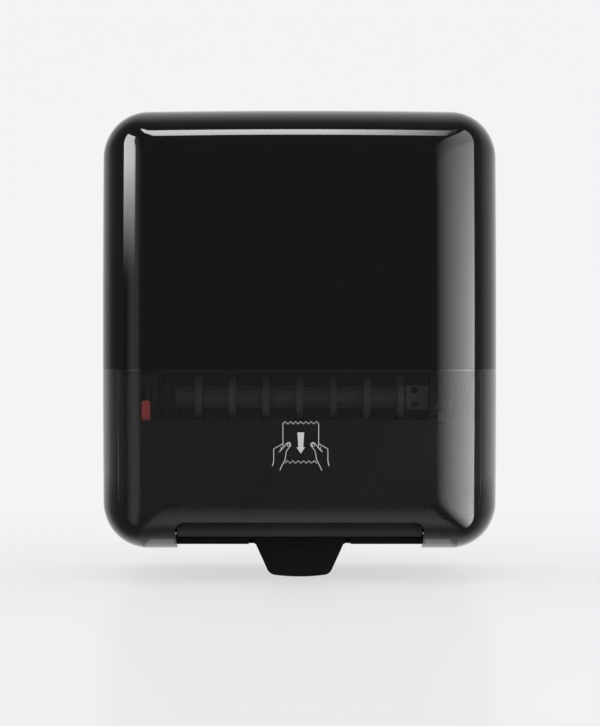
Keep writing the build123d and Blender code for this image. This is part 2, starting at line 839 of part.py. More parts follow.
# Left chassis plate, with the foot stud of the pinch spring and the seat of the lever frame's peg
with BuildPart() as chassis_left:
    add(chassis_plate(-1, left_bush_radius))
    add(rod(-lever_spring_x - spring_radius, -chassis_outer_x, lever_stud, spring_stud_radius))
    add(
        rod(
            -chassis_outer_x,
            -chassis_x,
            (bezel_tab_depth, bezel_tab_height),
            bezel_peg_radius + running_fit,
        ),
        mode=Mode.SUBTRACT,
    )

# Right chassis plate, with the foot stud of the assist spring and the seats of its pins and posts
with BuildPart() as chassis_right:
    add(chassis_plate(1, right_bush_radius))
    add(rod(chassis_outer_x, assist_spring_x + spring_radius, assist_stud, spring_stud_radius))
    add(
        rod(chassis_x, chassis_outer_x, assist_pivot, assist_pin_radius + running_fit),
        mode=Mode.SUBTRACT,
    )
    for post in bracket_posts:
        add(
            rod(chassis_x, chassis_outer_x, post, bracket_screw_radius + running_fit),
            mode=Mode.SUBTRACT,
        )

# Screws that hold the chassis flanges to the back plate
with BuildPart() as chassis_screws:
    for side in (-1, 1):
        for rise in chassis_screw_heights:
            add(
                screw(
                    (side * flange_screw_x, -back_panel - flange_wall, floor_z + rise),
                    (0, -1, 0),
                    screw_radius,
                    flange_wall + screw_bite,
                    screw_head_radius,
                    screw_head_height,
                )
            )


def drum_bush(side, bore_radius):
    """A flanged bearing ring in a chassis plate."""
    outer = bore_radius + running_fit + bush_wall
    with BuildPart() as bush:
        with BuildSketch(Plane.YZ.offset(side * chassis_x)):
            with Locations(at(*drum_axis)):
                Circle(outer)
        extrude(amount=side * chassis_wall)
        with BuildSketch(Plane.YZ.offset(side * chassis_x)):
            with Locations(at(*drum_axis)):
                Circle(outer + bush_flange)
        extrude(amount=-side * bush_flange_wall)
        with BuildSketch(Plane.YZ.offset(side * (chassis_x - bush_flange_wall))):
            with Locations(at(*drum_axis)):
                Circle(bore_radius + running_fit)
        extrude(amount=side * (chassis_wall + bush_flange_wall), mode=Mode.SUBTRACT)
    return bush.part


# Bearing bushes of the drum
with BuildPart() as drum_bush_left:
    add(drum_bush(-1, left_stub_radius))
with BuildPart() as drum_bush_right:
    add(drum_bush(1, right_hub_radius))

# Drum shell: a tube with the knife's slot and a groove for each grip band
drum_half = drum_length / 2
drum_bore = drum_radius - drum_wall
with BuildPart() as drum_shell:
    with BuildSketch(turned_plane(-drum_half, drum_axis, knife_direction)):
        Circle(drum_radius)
        Circle(drum_bore, mode=Mode.SUBTRACT)
    extrude(amount=drum_length)
    with BuildSketch(turned_plane(-drum_slot_length / 2, drum_axis, knife_direction)):
        with Locations((drum_radius, 0)):
            Rectangle(2 * drum_slot_width, drum_slot_width)
    extrude(amount=drum_slot_length, mode=Mode.SUBTRACT)
    for band in range(grip_count):
        band_x = (band - (grip_count - 1) / 2) * grip_pitch
        with BuildSketch(turned_plane(band_x - grip_width / 2, drum_axis, knife_direction)):
            Circle(drum_radius + cut_overrun)
            Circle(drum_radius - grip_depth, mode=Mode.SUBTRACT)
        extrude(amount=grip_width, mode=Mode.SUBTRACT)

# Grip bands: soft strips in the drum's grooves, open at the slot
with BuildPart() as grip_bands:
    for band in range(grip_count):
        band_x = (band - (grip_count - 1) / 2) * grip_pitch
        with BuildSketch(turned_plane(band_x - grip_width / 2, drum_axis, knife_direction)):
            Circle(drum_radius + grip_rise)
            Circle(drum_radius - grip_depth, mode=Mode.SUBTRACT)
            with Locations((drum_radius, 0)):
                Rectangle(2 * drum_slot_width, drum_slot_width, mode=Mode.SUBTRACT)
        extrude(amount=grip_width)


def drum_cap(side):
    """An end cap of the drum: a rim that covers the shell's end and a spigot inside it."""
    with BuildPart() as cap:
        with BuildSketch(Plane.YZ.offset(side * drum_half)):
            with Locations(at(*drum_axis)):
                Circle(drum_radius)
        extrude(amount=side * drum_cap_wall)
        with BuildSketch(Plane.YZ.offset(side * drum_half)):
            with Locations(at(*drum_axis)):
                Circle(drum_bore - running_fit)
        extrude(amount=-side * drum_spigot)
    return cap.part


# Left end cap, with the stub that carries the hand wheel and the seat of the knife shaft's end
with BuildPart() as drum_end_left:
    add(drum_cap(-1))
    add(rod(-left_stub_end, -drum_half, drum_axis, left_stub_radius))
    add(
        rod(
            -drum_half - running_fit,
            -drum_half + drum_spigot,
            drum_axis,
            knife_shaft_radius + running_fit,
        ),
        mode=Mode.SUBTRACT,
    )
    add(
        rod(
            -left_stub_end,
            -left_stub_end + wheel_screw_length,
            drum_axis,
            wheel_screw_radius + running_fit,
        ),
        mode=Mode.SUBTRACT,
    )

# Right end cap, with the hollow hub that the fixed knife shaft passes through
with BuildPart() as drum_end_right:
    add(drum_cap(1))
    add(rod(drum_half, right_hub_end, drum_axis, right_hub_radius))
    add(
        rod(
            drum_half - drum_spigot,
            right_hub_end,
            drum_axis,
            right_hub_radius - right_hub_wall,
        ),
        mode=Mode.SUBTRACT,
    )

# Knife shaft: fixed, set off the drum's axis, with a stub on that axis at its left end
knife_web_left = -knife_web_x - knife_shaft_web
with BuildPart() as knife_shaft:
    add(rod(-knife_web_x, bracket_x + bracket_wall, knife_axis, knife_shaft_radius))
    add(rod(knife_web_left, -knife_web_x, drum_axis, knife_shaft_web_radius))
    add(rod(-drum_half, knife_web_left, drum_axis, knife_shaft_radius))

# Bracket that holds the knife shaft still
with BuildPart() as knife_bracket:
    with BuildSketch(Plane.YZ.offset(bracket_x)):
        with Locations(at(*knife_axis)):
            Circle(bracket_eye_radius)
        with Locations(*[at(*post) for post in bracket_posts]):
            Circle(bracket_post_radius)
        make_hull()
    extrude(amount=bracket_wall)
    for post in bracket_posts:
        add(rod(chassis_outer_x, bracket_x, post, bracket_post_radius))
    for post in bracket_posts:
        add(
            rod(chassis_outer_x, bracket_x + bracket_wall, post, bracket_screw_radius + running_fit),
            mode=Mode.SUBTRACT,
        )
    add(
        rod(bracket_x, bracket_x + bracket_wall, knife_axis, knife_shaft_radius + running_fit),
        mode=Mode.SUBTRACT,
    )

# Screws through the bracket's posts into the chassis plate
with BuildPart() as bracket_screws:
    for post in bracket_posts:
        add(
            screw(
                (bracket_x + bracket_wall, *at(*post)),
                (1, 0, 0),
                bracket_screw_radius,
                bracket_x + bracket_wall - chassis_x,
                screw_head_radius,
                screw_head_height,
            )
        )

# Knife carrier: hubs on the knife shaft, spokes and a bar that backs the blade
with BuildPart() as knife_carrier:
    for hub in (-carrier_hub_pitch, 0, carrier_hub_pitch):
        with BuildSketch(turned_plane(hub - carrier_hub_width / 2, knife_axis, knife_direction)):
            Circle(carrier_hub_radius)
            with Locations((carrier_bar_inner / 2, (blade_wall + carrier_bar_wall) / 2)):
                Rectangle(carrier_bar_inner, carrier_bar_wall)
        extrude(amount=carrier_hub_width)
    with BuildSketch(turned_plane(-carrier_length / 2, knife_axis, knife_direction)):
        with Locations(
            ((carrier_bar_inner + carrier_bar_outer) / 2, (blade_wall + carrier_bar_wall) / 2)
        ):
            Rectangle(carrier_bar_outer - carrier_bar_inner, carrier_bar_wall)
    extrude(amount=carrier_length)
    with BuildSketch(turned_plane(-carrier_length / 2, knife_axis, knife_direction)):
        Circle(knife_shaft_radius + running_fit)
    extrude(amount=carrier_length, mode=Mode.SUBTRACT)
    blade_plane = Plane(
        origin=(0, *at(*knife_axis)),
        x_dir=(1, 0, 0),
        z_dir=(0, -knife_direction[1], knife_direction[0]),
    )
    with BuildSketch(blade_plane.offset(blade_wall / 2)):
        with Locations(*[(hub, blade_screw_height) for hub in (-carrier_hub_pitch, 0, carrier_hub_pitch)]):
            Circle(blade_screw_radius + running_fit)
    extrude(amount=blade_screw_bite, mode=Mode.SUBTRACT)

# Knife blade: a thin strip with a toothed edge
tooth_count = int(blade_length / tooth_pitch)
toothed_length = tooth_count * tooth_pitch
with BuildPart() as knife_blade:
    with BuildSketch(blade_plane.offset(-blade_wall / 2)):
        edge = [(-toothed_length / 2, blade_root), (-toothed_length / 2, blade_reach - tooth_height)]
        for tooth in range(tooth_count):
            start = -toothed_length / 2 + tooth * tooth_pitch
            edge.append((start + tooth_pitch / 2, blade_reach))
            edge.append((start + tooth_pitch, blade_reach - tooth_height))
        edge.append((toothed_length / 2, blade_root))
        Polygon(*edge, align=None)
        with Locations(*[(hub, blade_screw_height) for hub in (-carrier_hub_pitch, 0, carrier_hub_pitch)]):
            Circle(blade_screw_radius + running_fit, mode=Mode.SUBTRACT)
    extrude(amount=blade_wall)

# Blade screws
with BuildPart() as blade_screws:
    for hub in (-carrier_hub_pitch, 0, carrier_hub_pitch):
        head_plane = blade_plane.offset(-blade_wall / 2)
        add(
            screw(
                head_plane.from_local_coords((hub, blade_screw_height, 0)),
                -head_plane.z_dir,
                blade_screw_radius,
                blade_wall + blade_screw_bite - clearance,
                blade_head_radius,
                blade_head_height,
            )
        )

# Hand wheel, notched for the thumb
with BuildPart() as hand_wheel:
    with BuildSketch(Plane.YZ.offset(-wheel_x)):
        with Locations(at(*drum_axis)):
            Circle(wheel_radius)
            with PolarLocations(wheel_notch_centre, wheel_notch_count):
                Circle(wheel_notch_radius, mode=Mode.SUBTRACT)
    extrude(amount=-wheel_width)
    with BuildSketch(Plane.YZ.offset(-wheel_x - wheel_width)):
        with Locations(at(*drum_axis)):
            Circle(wheel_radius - wheel_rim)
            Circle(wheel_hub_radius, mode=Mode.SUBTRACT)
    extrude(amount=wheel_width - wheel_web, mode=Mode.SUBTRACT)
    add(
        rod(-wheel_x - wheel_width, -wheel_x, drum_axis, left_stub_radius + running_fit),
        mode=Mode.SUBTRACT,
    )

# Screw that holds the hand wheel on its stub
with BuildPart() as wheel_screw:
    add(
        screw(
            (-left_stub_end, *at(*drum_axis)),
            (-1, 0, 0),
            wheel_screw_radius,
            wheel_screw_length - clearance,
            wheel_screw_head_radius,
            wheel_screw_head,
        )
    )

# Assist cam: a round disc with one lobe, on the drum's right hub
with BuildPart() as assist_cam:
    with BuildSketch(Plane.YZ.offset(cam_x)):
        with Locations(at(*drum_axis)):
            Circle(cam_base_radius)
        with Locations(at(*swung(drum_axis, cam_lobe_angle, cam_lobe_radius - cam_nose_radius))):
            Circle(cam_nose_radius)
        make_hull()
    extrude(amount=cam_width)
    add(
        rod(cam_x, cam_x + cam_width, drum_axis, right_hub_radius + running_fit),
        mode=Mode.SUBTRACT,
    )

# Pivot pin of the assist lever
assist_pin_end = assist_lever_x + assist_lever_wall + clearance
with BuildPart() as assist_pin:
    add(rod(chassis_x, assist_pin_end, assist_pivot, assist_pin_radius))
    add(rod(assist_pin_end, assist_pin_end + assist_pin_head, assist_pivot, assist_pin_head_radius))
    add(
        rod(
            chassis_outer_x,
            assist_lever_x - clearance,
            assist_pivot,
            assist_pin_head_radius,
        )
    )

# Assist lever, with the roller's pin and the spring's stud
with BuildPart() as assist_lever:
    with BuildSketch(Plane.YZ.offset(assist_lever_x)):
        with Locations(at(*assist_pivot)):
            Circle(assist_eye_radius)
        with Locations(at(*assist_roller_axis)):
            Circle(assist_tip_radius)
        make_hull()
    extrude(amount=assist_lever_wall)
    add(
        rod(
            assist_roller_x,
            assist_lever_x,
            assist_roller_axis,
            assist_roller_pin_radius,
        )
    )
    add(
        rod(
            assist_spring_x - spring_radius,
            assist_lever_x,
            (assist_spring_depth, assist_spring_top),
            spring_stud_radius,
        )
    )
    add(
        rod(
            assist_lever_x,
            assist_lever_x + assist_lever_wall,
            assist_pivot,
            assist_pin_radius + running_fit,
        ),
        mode=Mode.SUBTRACT,
    )

# Roller that rides on the cam
with BuildPart() as assist_roller:
    roller_end = assist_roller_x + assist_roller_width
    add(rod(assist_roller_x, roller_end, assist_roller_axis, assist_roller_radius))
    add(
        rod(
            assist_roller_x,
            roller_end,
            assist_roller_axis,
            assist_roller_pin_radius + running_fit,
        ),
        mode=Mode.SUBTRACT,
    )


def tension_spring(x, depth, foot_height, top_height):
    """The sleeve of space that an upright coil spring fills between two studs."""
    low = foot_height + spring_stud_radius + running_fit
    high = top_height - spring_stud_radius - running_fit
    with BuildPart() as coil:
        with BuildSketch(Plane.XY.offset(floor_z + low)):
            with Locations((x, -depth)):
                Circle(spring_radius)
                Circle(spring_radius - spring_wire, mode=Mode.SUBTRACT)
        extrude(amount=high - low)
    return coil.part


# Tension springs of the assist lever and of the pinch frame
with BuildPart() as assist_spring:
    add(tension_spring(assist_spring_x, assist_spring_depth, assist_spring_foot, assist_spring_top))
with BuildPart() as pinch_spring:
    add(tension_spring(-lever_spring_x, lever_spring_depth, lever_spring_foot, lever_spring_top))

# Pinch frame: two arms, a tie bar over the roller and pivot stubs in the chassis plates
pinch_head_back = roller_axis[0] - pinch_head_half
pinch_head_front = roller_axis[0] + pinch_head_reach
pinch_head_low = roller_axis[1] - pinch_head_half
pinch_head_high = roller_axis[1] + pinch_head_half
tie_low = roller_axis[1] + pinch_tie_rise
tie_high = tie_low + pinch_tie_size
tie_back = roller_axis[0] - pinch_tie_depth / 2
tie_front = roller_axis[0] + pinch_tie_depth / 2
pinch_arm_outer_x = pinch_arm_x + pinch_arm_wall
with BuildPart() as pinch_frame:
    for side in (-1, 1):
        with BuildSketch(Plane.YZ.offset(side * pinch_arm_x)):
            with Locations(at(*pinch_pivot)):
                Circle(pinch_eye_radius)
            Polygon(
                at(pinch_pivot[0], pinch_pivot[1] - pinch_eye_radius),
                at(pinch_pivot[0], pinch_pivot[1] + pinch_eye_radius),
                at(tie_back, tie_high),
                at(tie_front, tie_high),
                at(pinch_head_front, pinch_head_high),
                at(pinch_head_front, pinch_head_low),
                at(pinch_head_back, pinch_head_low),
                align=None,
            )
            with Locations(at(*roller_axis)):
                Circle(journal_radius + running_fit, mode=Mode.SUBTRACT)
        extrude(amount=side * pinch_arm_wall)
    with BuildSketch(Plane.YZ.offset(-pinch_arm_x)):
        Polygon(
            at(tie_back, tie_low),
            at(tie_back, tie_high),
            at(tie_front, tie_high),
            at(tie_front, tie_low),
            align=None,
        )
    extrude(amount=2 * pinch_arm_x)
    add(rod(pinch_arm_outer_x, chassis_outer_x + clearance, pinch_pivot, pinch_pivot_radius))
    add(rod(-lever_x - lever_wall, -pinch_arm_outer_x, pinch_pivot, pinch_pivot_radius))
    for rise in (-cap_screw_rise, cap_screw_rise):
        with BuildSketch(Plane.XZ.offset(pinch_head_front)):
            with Locations((cap_screw_x, floor_z + roller_axis[1] + rise)):
                Circle(cap_block_radius)
        extrude(amount=-cap_block_length)
    with BuildSketch(Plane.XZ.offset(pinch_head_front)):
        with Locations(((cap_screw_x + pinch_arm_x) / 2, floor_z + roller_axis[1])):
            Rectangle(pinch_arm_x - cap_screw_x, 2 * pinch_head_half)
    extrude(amount=-cap_block_length / 2)
    with BuildSketch(Plane.XZ.offset(pinch_head_front)):
        for rise in (-cap_screw_rise, cap_screw_rise):
            with Locations((cap_screw_x, floor_z + roller_axis[1] + rise)):
                Circle(cap_screw_radius + running_fit)
    extrude(amount=-cap_block_length, mode=Mode.SUBTRACT)

# Pinch roller: discs on a ribbed core with a journal at each end
core_half = pinch_arm_x - core_end_gap
with BuildPart() as pinch_roller:
    with BuildSketch(Plane.YZ.offset(-core_half)):
        with Locations(at(*roller_axis)):
            Circle(core_radius)
            with PolarLocations(core_radius, core_rib_count):
                Rectangle(2 * core_rib_rise, core_rib_width)
    extrude(amount=2 * core_half)
    for disc in range(disc_count):
        disc_x = (disc - (disc_count - 1) / 2) * grip_pitch
        add(rod(disc_x - disc_width / 2, disc_x + disc_width / 2, roller_axis, disc_radius))
    add(rod(-pinch_arm_outer_x, pinch_arm_outer_x, roller_axis, journal_radius))

# Cap plate in front of the roller's right end, and its screws
with BuildPart() as pinch_cap:
    with BuildSketch(Plane.XZ.offset(pinch_head_front)):
        with Locations(((cap_inner_x + pinch_arm_outer_x) / 2, floor_z + roller_axis[1])):
            Rectangle(pinch_arm_outer_x - cap_inner_x, 2 * pinch_head_half)
        for rise in (-cap_screw_rise, cap_screw_rise):
            with Locations((cap_screw_x, floor_z + roller_axis[1] + rise)):
                Circle(cap_screw_radius + running_fit, mode=Mode.SUBTRACT)
    extrude(amount=cap_wall)
with BuildPart() as cap_screws:
    for rise in (-cap_screw_rise, cap_screw_rise):
        add(
            screw(
                (cap_screw_x, -pinch_head_front - cap_wall, floor_z + roller_axis[1] + rise),
                (0, -1, 0),
                cap_screw_radius,
                cap_wall + cap_block_length - clearance,
                cap_head_radius,
                cap_head_height,
            )
        )

# Release lever: an arm on the pinch frame's left stub, with a cross piece and the thumb pad
lever_outer_x = lever_x + lever_wall
pad_left = -pad_x - pad_width / 2
with BuildPart() as release_lever:
    with BuildSketch(Plane.YZ.offset(-lever_outer_x)):
        with Locations(at(*pinch_pivot)):
            Circle(lever_eye_radius)
        Polygon(
            at(pinch_pivot[0], pinch_pivot[1] + lever_eye_radius),
            at(lever_bend_depth, lever_bend_height + lever_arm_half),
            at(lever_bend_depth, lever_bend_height - lever_arm_half),
            at(pinch_pivot[0], pinch_pivot[1] - lever_eye_radius),
            align=None,
        )
    extrude(amount=lever_wall)
    with BuildSketch(Plane.YZ.offset(pad_left)):
        with Locations(at(lever_bend_depth - lever_arm_half, lever_bend_height)):
            Rectangle(2 * lever_arm_half, 2 * lever_arm_half)
    extrude(amount=-lever_x - pad_left)
    with BuildSketch(Plane.XZ.offset(lever_bend_depth)):
        with Locations((-pad_x, floor_z + lever_bend_height)):
            RectangleRounded(pad_width, pad_length, pad_fillet)
    extrude(amount=pad_front_depth - lever_bend_depth)
    add(
        rod(
            -lever_spring_x - spring_radius,
            -lever_outer_x,
            (lever_spring_depth, lever_spring_top),
            spring_stud_radius,
        )
    )
    add(
        rod(-lever_outer_x, -lever_x, pinch_pivot, pinch_pivot_radius + running_fit),
        mode=Mode.SUBTRACT,
    )

# Frame round the thumb pad: a front with a slot, two sides and a roof, pegged to the left plate
with BuildPart() as lever_bezel:
    bezel_width = bezel_left_x - bezel_right_x
    bezel_centre_x = -(bezel_left_x + bezel_right_x) / 2
    bezel_height = bezel_top_height - bezel_bottom_height
    bezel_centre_z = floor_z + (bezel_top_height + bezel_bottom_height) / 2
    with BuildSketch(Plane.XZ.offset(bezel_back_depth)):
        with Locations((bezel_centre_x, bezel_centre_z)):
            Rectangle(bezel_width, bezel_height)
        with Locations((bezel_centre_x, bezel_centre_z - bezel_wall)):
            Rectangle(bezel_width - 2 * bezel_wall, bezel_height, mode=Mode.SUBTRACT)
    extrude(amount=bezel_front_depth - bezel_back_depth)
    with BuildSketch(Plane.XZ.offset(bezel_front_depth - bezel_wall)):
        with Locations((bezel_centre_x, bezel_centre_z)):
            Rectangle(bezel_width, bezel_height)
    extrude(amount=bezel_wall)
    slot_top = floor_z + bezel_slot_top
    slot_foot = floor_z + bezel_bottom_height + bezel_wall
    with BuildSketch(Plane.XZ.offset(bezel_front_depth - bezel_wall)):
        with Locations((-pad_x, (slot_top + slot_foot) / 2)):
            Rectangle(pad_width + 2 * bezel_slot_side, slot_top - slot_foot)
    extrude(amount=bezel_wall, mode=Mode.SUBTRACT)
    with BuildSketch(Plane.YZ.offset(-bezel_right_x)):
        with Locations(at(bezel_tab_depth, bezel_tab_height)):
            Rectangle(2 * bezel_tab_half, 2 * bezel_tab_half)
    extrude(amount=bezel_right_x - chassis_outer_x)
    add(rod(-chassis_outer_x, -chassis_x, (bezel_tab_depth, bezel_tab_height), bezel_peg_radius))

# Guard: a bent sheet in front of the drum, wide above, narrowed below to a lip that curls inward
guard_fall_share = (guard_top_height - guard_tab_height) / (guard_top_height - guard_waist_height)
tab_front = guard_top_depth + guard_fall_share * (guard_waist_depth - guard_top_depth)
with BuildPart() as drum_guard:
    with BuildSketch(Plane.YZ.offset(-guard_width / 2)):
        with BuildLine():
            fall = Polyline(
                at(guard_top_depth - guard_flange, guard_top_height - guard_wall / 2),
                at(guard_top_depth, guard_top_height - guard_wall / 2),
                at(guard_waist_depth, guard_waist_height),
                at(guard_lip_depth, guard_lip_height),
            )
            JernArc(fall @ 1, fall % 1, guard_lip_radius, guard_lip_turn)
        trace(line_width=guard_wall)
    extrude(amount=guard_width)
    with BuildSketch(Plane.XZ):
        for side in (-1, 1):
            with Locations((side * (guard_lip_width + guard_width) / 4, floor_z)):
                Rectangle((guard_width - guard_lip_width) / 2, 2 * guard_step_height)
    extrude(amount=body_depth, mode=Mode.SUBTRACT)
    for side in (-1, 1):
        with BuildSketch(Plane.YZ.offset(side * chassis_outer_x)):
            with Locations(at((guard_tab_depth - guard_tab_half + tab_front) / 2, guard_tab_height)):
                Rectangle(tab_front - guard_tab_depth + guard_tab_half, 2 * guard_tab_half)
            with Locations(at(guard_tab_depth, guard_tab_height)):
                Circle(screw_radius + running_fit, mode=Mode.SUBTRACT)
        extrude(amount=side * guard_tab_wall)

# Screws of the guard
with BuildPart() as guard_screws:
    for side in (-1, 1):
        add(
            screw(
                (side * (chassis_outer_x + guard_tab_wall), *at(guard_tab_depth, guard_tab_height)),
                (side, 0, 0),
                screw_radius,
                guard_tab_wall + chassis_wall,
                screw_head_radius,
                screw_head_height,
            )
        )

# Chute: the sloping floor, the sill and guide ribs on it, end cheeks and the tongue
chute_slope = (chute_back_height - chute_front_height) / (chute_front_depth - chute_back_depth)


def chute_top(depth):
    """The height of the chute's floor at a depth."""
    return chute_front_height + chute_slope * (chute_front_depth - depth)


with BuildPart() as paper_chute:
    with BuildSketch(Plane.YZ.offset(-chute_half)):
        Polygon(
            at(chute_back_depth, chute_back_height),
            at(chute_front_depth, chute_front_height),
            at(chute_front_depth, chute_front_height - chute_wall),
            at(chute_back_depth, chute_back_height - chute_wall),
            align=None,
        )
    extrude(amount=chute_width)
    with BuildSketch(Plane.YZ.offset(-chute_half)):
        Polygon(
            at(chute_front_depth - chute_sill_wall, chute_front_height - chute_wall),
            at(chute_front_depth - chute_sill_wall, chute_sill_height),
            at(chute_front_depth, chute_sill_height),
            at(chute_front_depth, chute_front_height - chute_wall),
            align=None,
        )
    extrude(amount=chute_width)
    for rib in range(chute_rib_count):
        rib_x = (rib - (chute_rib_count - 1) / 2) * chute_rib_pitch
        with BuildSketch(Plane.YZ.offset(rib_x - chute_rib_wall / 2)):
            Polygon(
                at(chute_rib_back_depth, chute_top(chute_rib_back_depth) - chute_wall / 2),
                at(chute_front_depth, chute_front_height - chute_wall / 2),
                at(chute_front_depth, chute_front_height + chute_rib_height),
                at(chute_front_depth - chute_rib_height, chute_front_height + chute_rib_height),
                align=None,
            )
        extrude(amount=chute_rib_wall)
    for side in (-1, 1):
        with BuildSketch(Plane.YZ.offset(side * chute_half)):
            Polygon(
                at(chute_cheek_back_depth, chute_cheek_foot),
                at(chute_cheek_back_depth, chute_cheek_height),
                at(chute_cheek_front_depth, chute_cheek_height),
                at(chute_cheek_front_depth, chute_cheek_foot),
                align=None,
            )
            with Locations(*[at(depth, chute_screw_height) for depth in chute_screw_depths]):
                Circle(screw_radius + running_fit, mode=Mode.SUBTRACT)
        extrude(amount=side * (chassis_x - chute_half))
        with BuildSketch(Plane.XZ.offset(chute_front_depth - tongue_wall)):
            with Locations((side * (notch_half + tongue_top_half) / 2, floor_z + chute_front_height)):
                Rectangle(notch_half - tongue_top_half, 2 * chute_wall)
        extrude(amount=tongue_wall, mode=Mode.SUBTRACT)
    with BuildSketch(Plane.XZ.offset(chute_front_depth - tongue_wall)) as tongue:
        tongue_top = floor_z + chute_front_height
        tongue_foot = tongue_top - tongue_drop
        tongue_heel = tongue_foot + tongue_sag
        with BuildLine():
            Line((tongue_top_half, tongue_top), (-tongue_top_half, tongue_top))
            Line((-tongue_top_half, tongue_top), (-tongue_foot_half, tongue_heel))
            ThreePointArc(
                (-tongue_foot_half, tongue_heel),
                (0, tongue_foot),
                (tongue_foot_half, tongue_heel),
            )
            Line((tongue_foot_half, tongue_heel), (tongue_top_half, tongue_top))
        make_face()
        fillet(tongue.vertices().group_by(Axis.Y)[0], tongue_fillet)
    extrude(amount=tongue_wall)

# Screws that hold the chute's cheeks to the chassis plates
with BuildPart() as chute_screws:
    for side in (-1, 1):
        for depth in chute_screw_depths:
            add(
                screw(
                    (side * chassis_outer_x, *at(depth, chute_screw_height)),
                    (side, 0, 0),
                    screw_radius,
                    chassis_outer_x - chute_half,
                    screw_head_radius,
                    screw_head_height,
                )
            )


def roll_arm(side):
    """An arm of the roll holder: a plate with an upright eye at its root and the hub's seat."""
    with BuildPart() as arm:
        with BuildSketch(Plane.YZ.offset(side * arm_inner_x)):
            Polygon(
                at(arm_pivot_depth, arm_foot),
                at(arm_pivot_depth, arm_foot + arm_eye_height),
                at(arm_straight_depth, arm_foot + arm_eye_height),
                at(roll_depth, roll_height + arm_head_radius),
                at(roll_depth, roll_height - arm_head_radius),
                at(arm_straight_depth, arm_foot),
                align=None,
            )
            with Locations(at(*roll_axis)):
                Circle(arm_head_radius)
        extrude(amount=side * arm_wall)
        with BuildSketch(Plane.XY.offset(floor_z + arm_foot)):
            with Locations((side * arm_centre_x, -arm_pivot_depth)):
                Circle(arm_eye_radius)
        extrude(amount=arm_eye_height)
        with BuildSketch(Plane.XY.offset(floor_z + arm_foot)):
            with Locations((side * arm_centre_x, -arm_pivot_depth)):
                Circle(arm_pin_radius + running_fit)
        extrude(amount=arm_eye_height, mode=Mode.SUBTRACT)
        with BuildSketch(Plane.YZ.offset(side * arm_inner_x)):
            with Locations(at(*roll_axis)):
                Circle(hub_axle_radius + running_fit)
        extrude(amount=side * arm_wall, mode=Mode.SUBTRACT)
    return arm.part


def roll_hub(side):
    """A hub: a nose for the roll's core, a flange beside the roll and an axle in the arm."""
    flange_x = roll_width / 2 + side_play
    axle_end = arm_inner_x + arm_wall + clearance + clip_wall + clearance
    with BuildPart() as hub:
        with BuildSketch(Plane.YZ.offset(side * flange_x)):
            with Locations(at(*roll_axis)):
                Circle(hub_nose_radius)
        extrude(amount=-side * hub_nose_length)
        tip = hub.faces().sort_by(Axis.X)[0 if side > 0 else -1]
        chamfer(tip.edges(), hub_nose_chamfer)
        with BuildSketch(Plane.YZ.offset(side * (flange_x - hub_nose_length))):
            with Locations(at(*roll_axis)):
                Circle(hub_bore_radius)
        extrude(amount=side * hub_bore_depth, mode=Mode.SUBTRACT)
        with BuildSketch(Plane.YZ.offset(side * flange_x)):
            with Locations(at(*roll_axis)):
                Circle(hub_flange_radius)
        extrude(amount=side * hub_flange_wall)
        with BuildSketch(Plane.YZ.offset(side * (flange_x + hub_flange_wall))):
            with Locations(at(*roll_axis)):
                Circle(hub_axle_radius)
        extrude(amount=side * (axle_end - flange_x - hub_flange_wall))
    return hub.part


def hub_clip(side):
    """The retaining ring on a hub's axle, outside its arm."""
    clip_x = side * (arm_inner_x + arm_wall + clearance)
    with BuildPart() as clip:
        with BuildSketch(Plane.YZ.offset(clip_x)):
            with Locations(at(*roll_axis)):
                Circle(clip_radius)
                Circle(hub_axle_radius + running_fit, mode=Mode.SUBTRACT)
        extrude(amount=side * clip_wall)
    return clip.part


def arm_spring(side):
    """The sleeve of space that a coil spring fills round an arm's pin, above its eye."""
    with BuildPart() as coil:
        with BuildSketch(Plane.XY.offset(floor_z + arm_spring_foot)):
            with Locations((side * arm_centre_x, -arm_pivot_depth)):
                Circle(arm_eye_radius - clearance)
                Circle(arm_eye_radius - clearance - 2 * arm_spring_wire, mode=Mode.SUBTRACT)
        extrude(amount=arm_spring_height)
    return coil.part


# Roll holder, left and right
with BuildPart() as roll_arm_left:
    add(roll_arm(-1))
with BuildPart() as roll_arm_right:
    add(roll_arm(1))
with BuildPart() as roll_hub_left:
    add(roll_hub(-1))
with BuildPart() as roll_hub_right:
    add(roll_hub(1))
with BuildPart() as hub_clip_left:
    add(hub_clip(-1))
with BuildPart() as hub_clip_right:
    add(hub_clip(1))
with BuildPart() as arm_spring_left:
    add(arm_spring(-1))
with BuildPart() as arm_spring_right:
    add(arm_spring(1))
with BuildPart() as arm_pins:
    for side in (-1, 1):
        with BuildSketch(Plane.XY.offset(floor_z + arm_lug_heights[0])):
            with Locations((side * arm_centre_x, -arm_pivot_depth)):
                Circle(arm_pin_radius)
        extrude(amount=arm_lug_heights[1] + arm_lug_wall - arm_lug_heights[0])

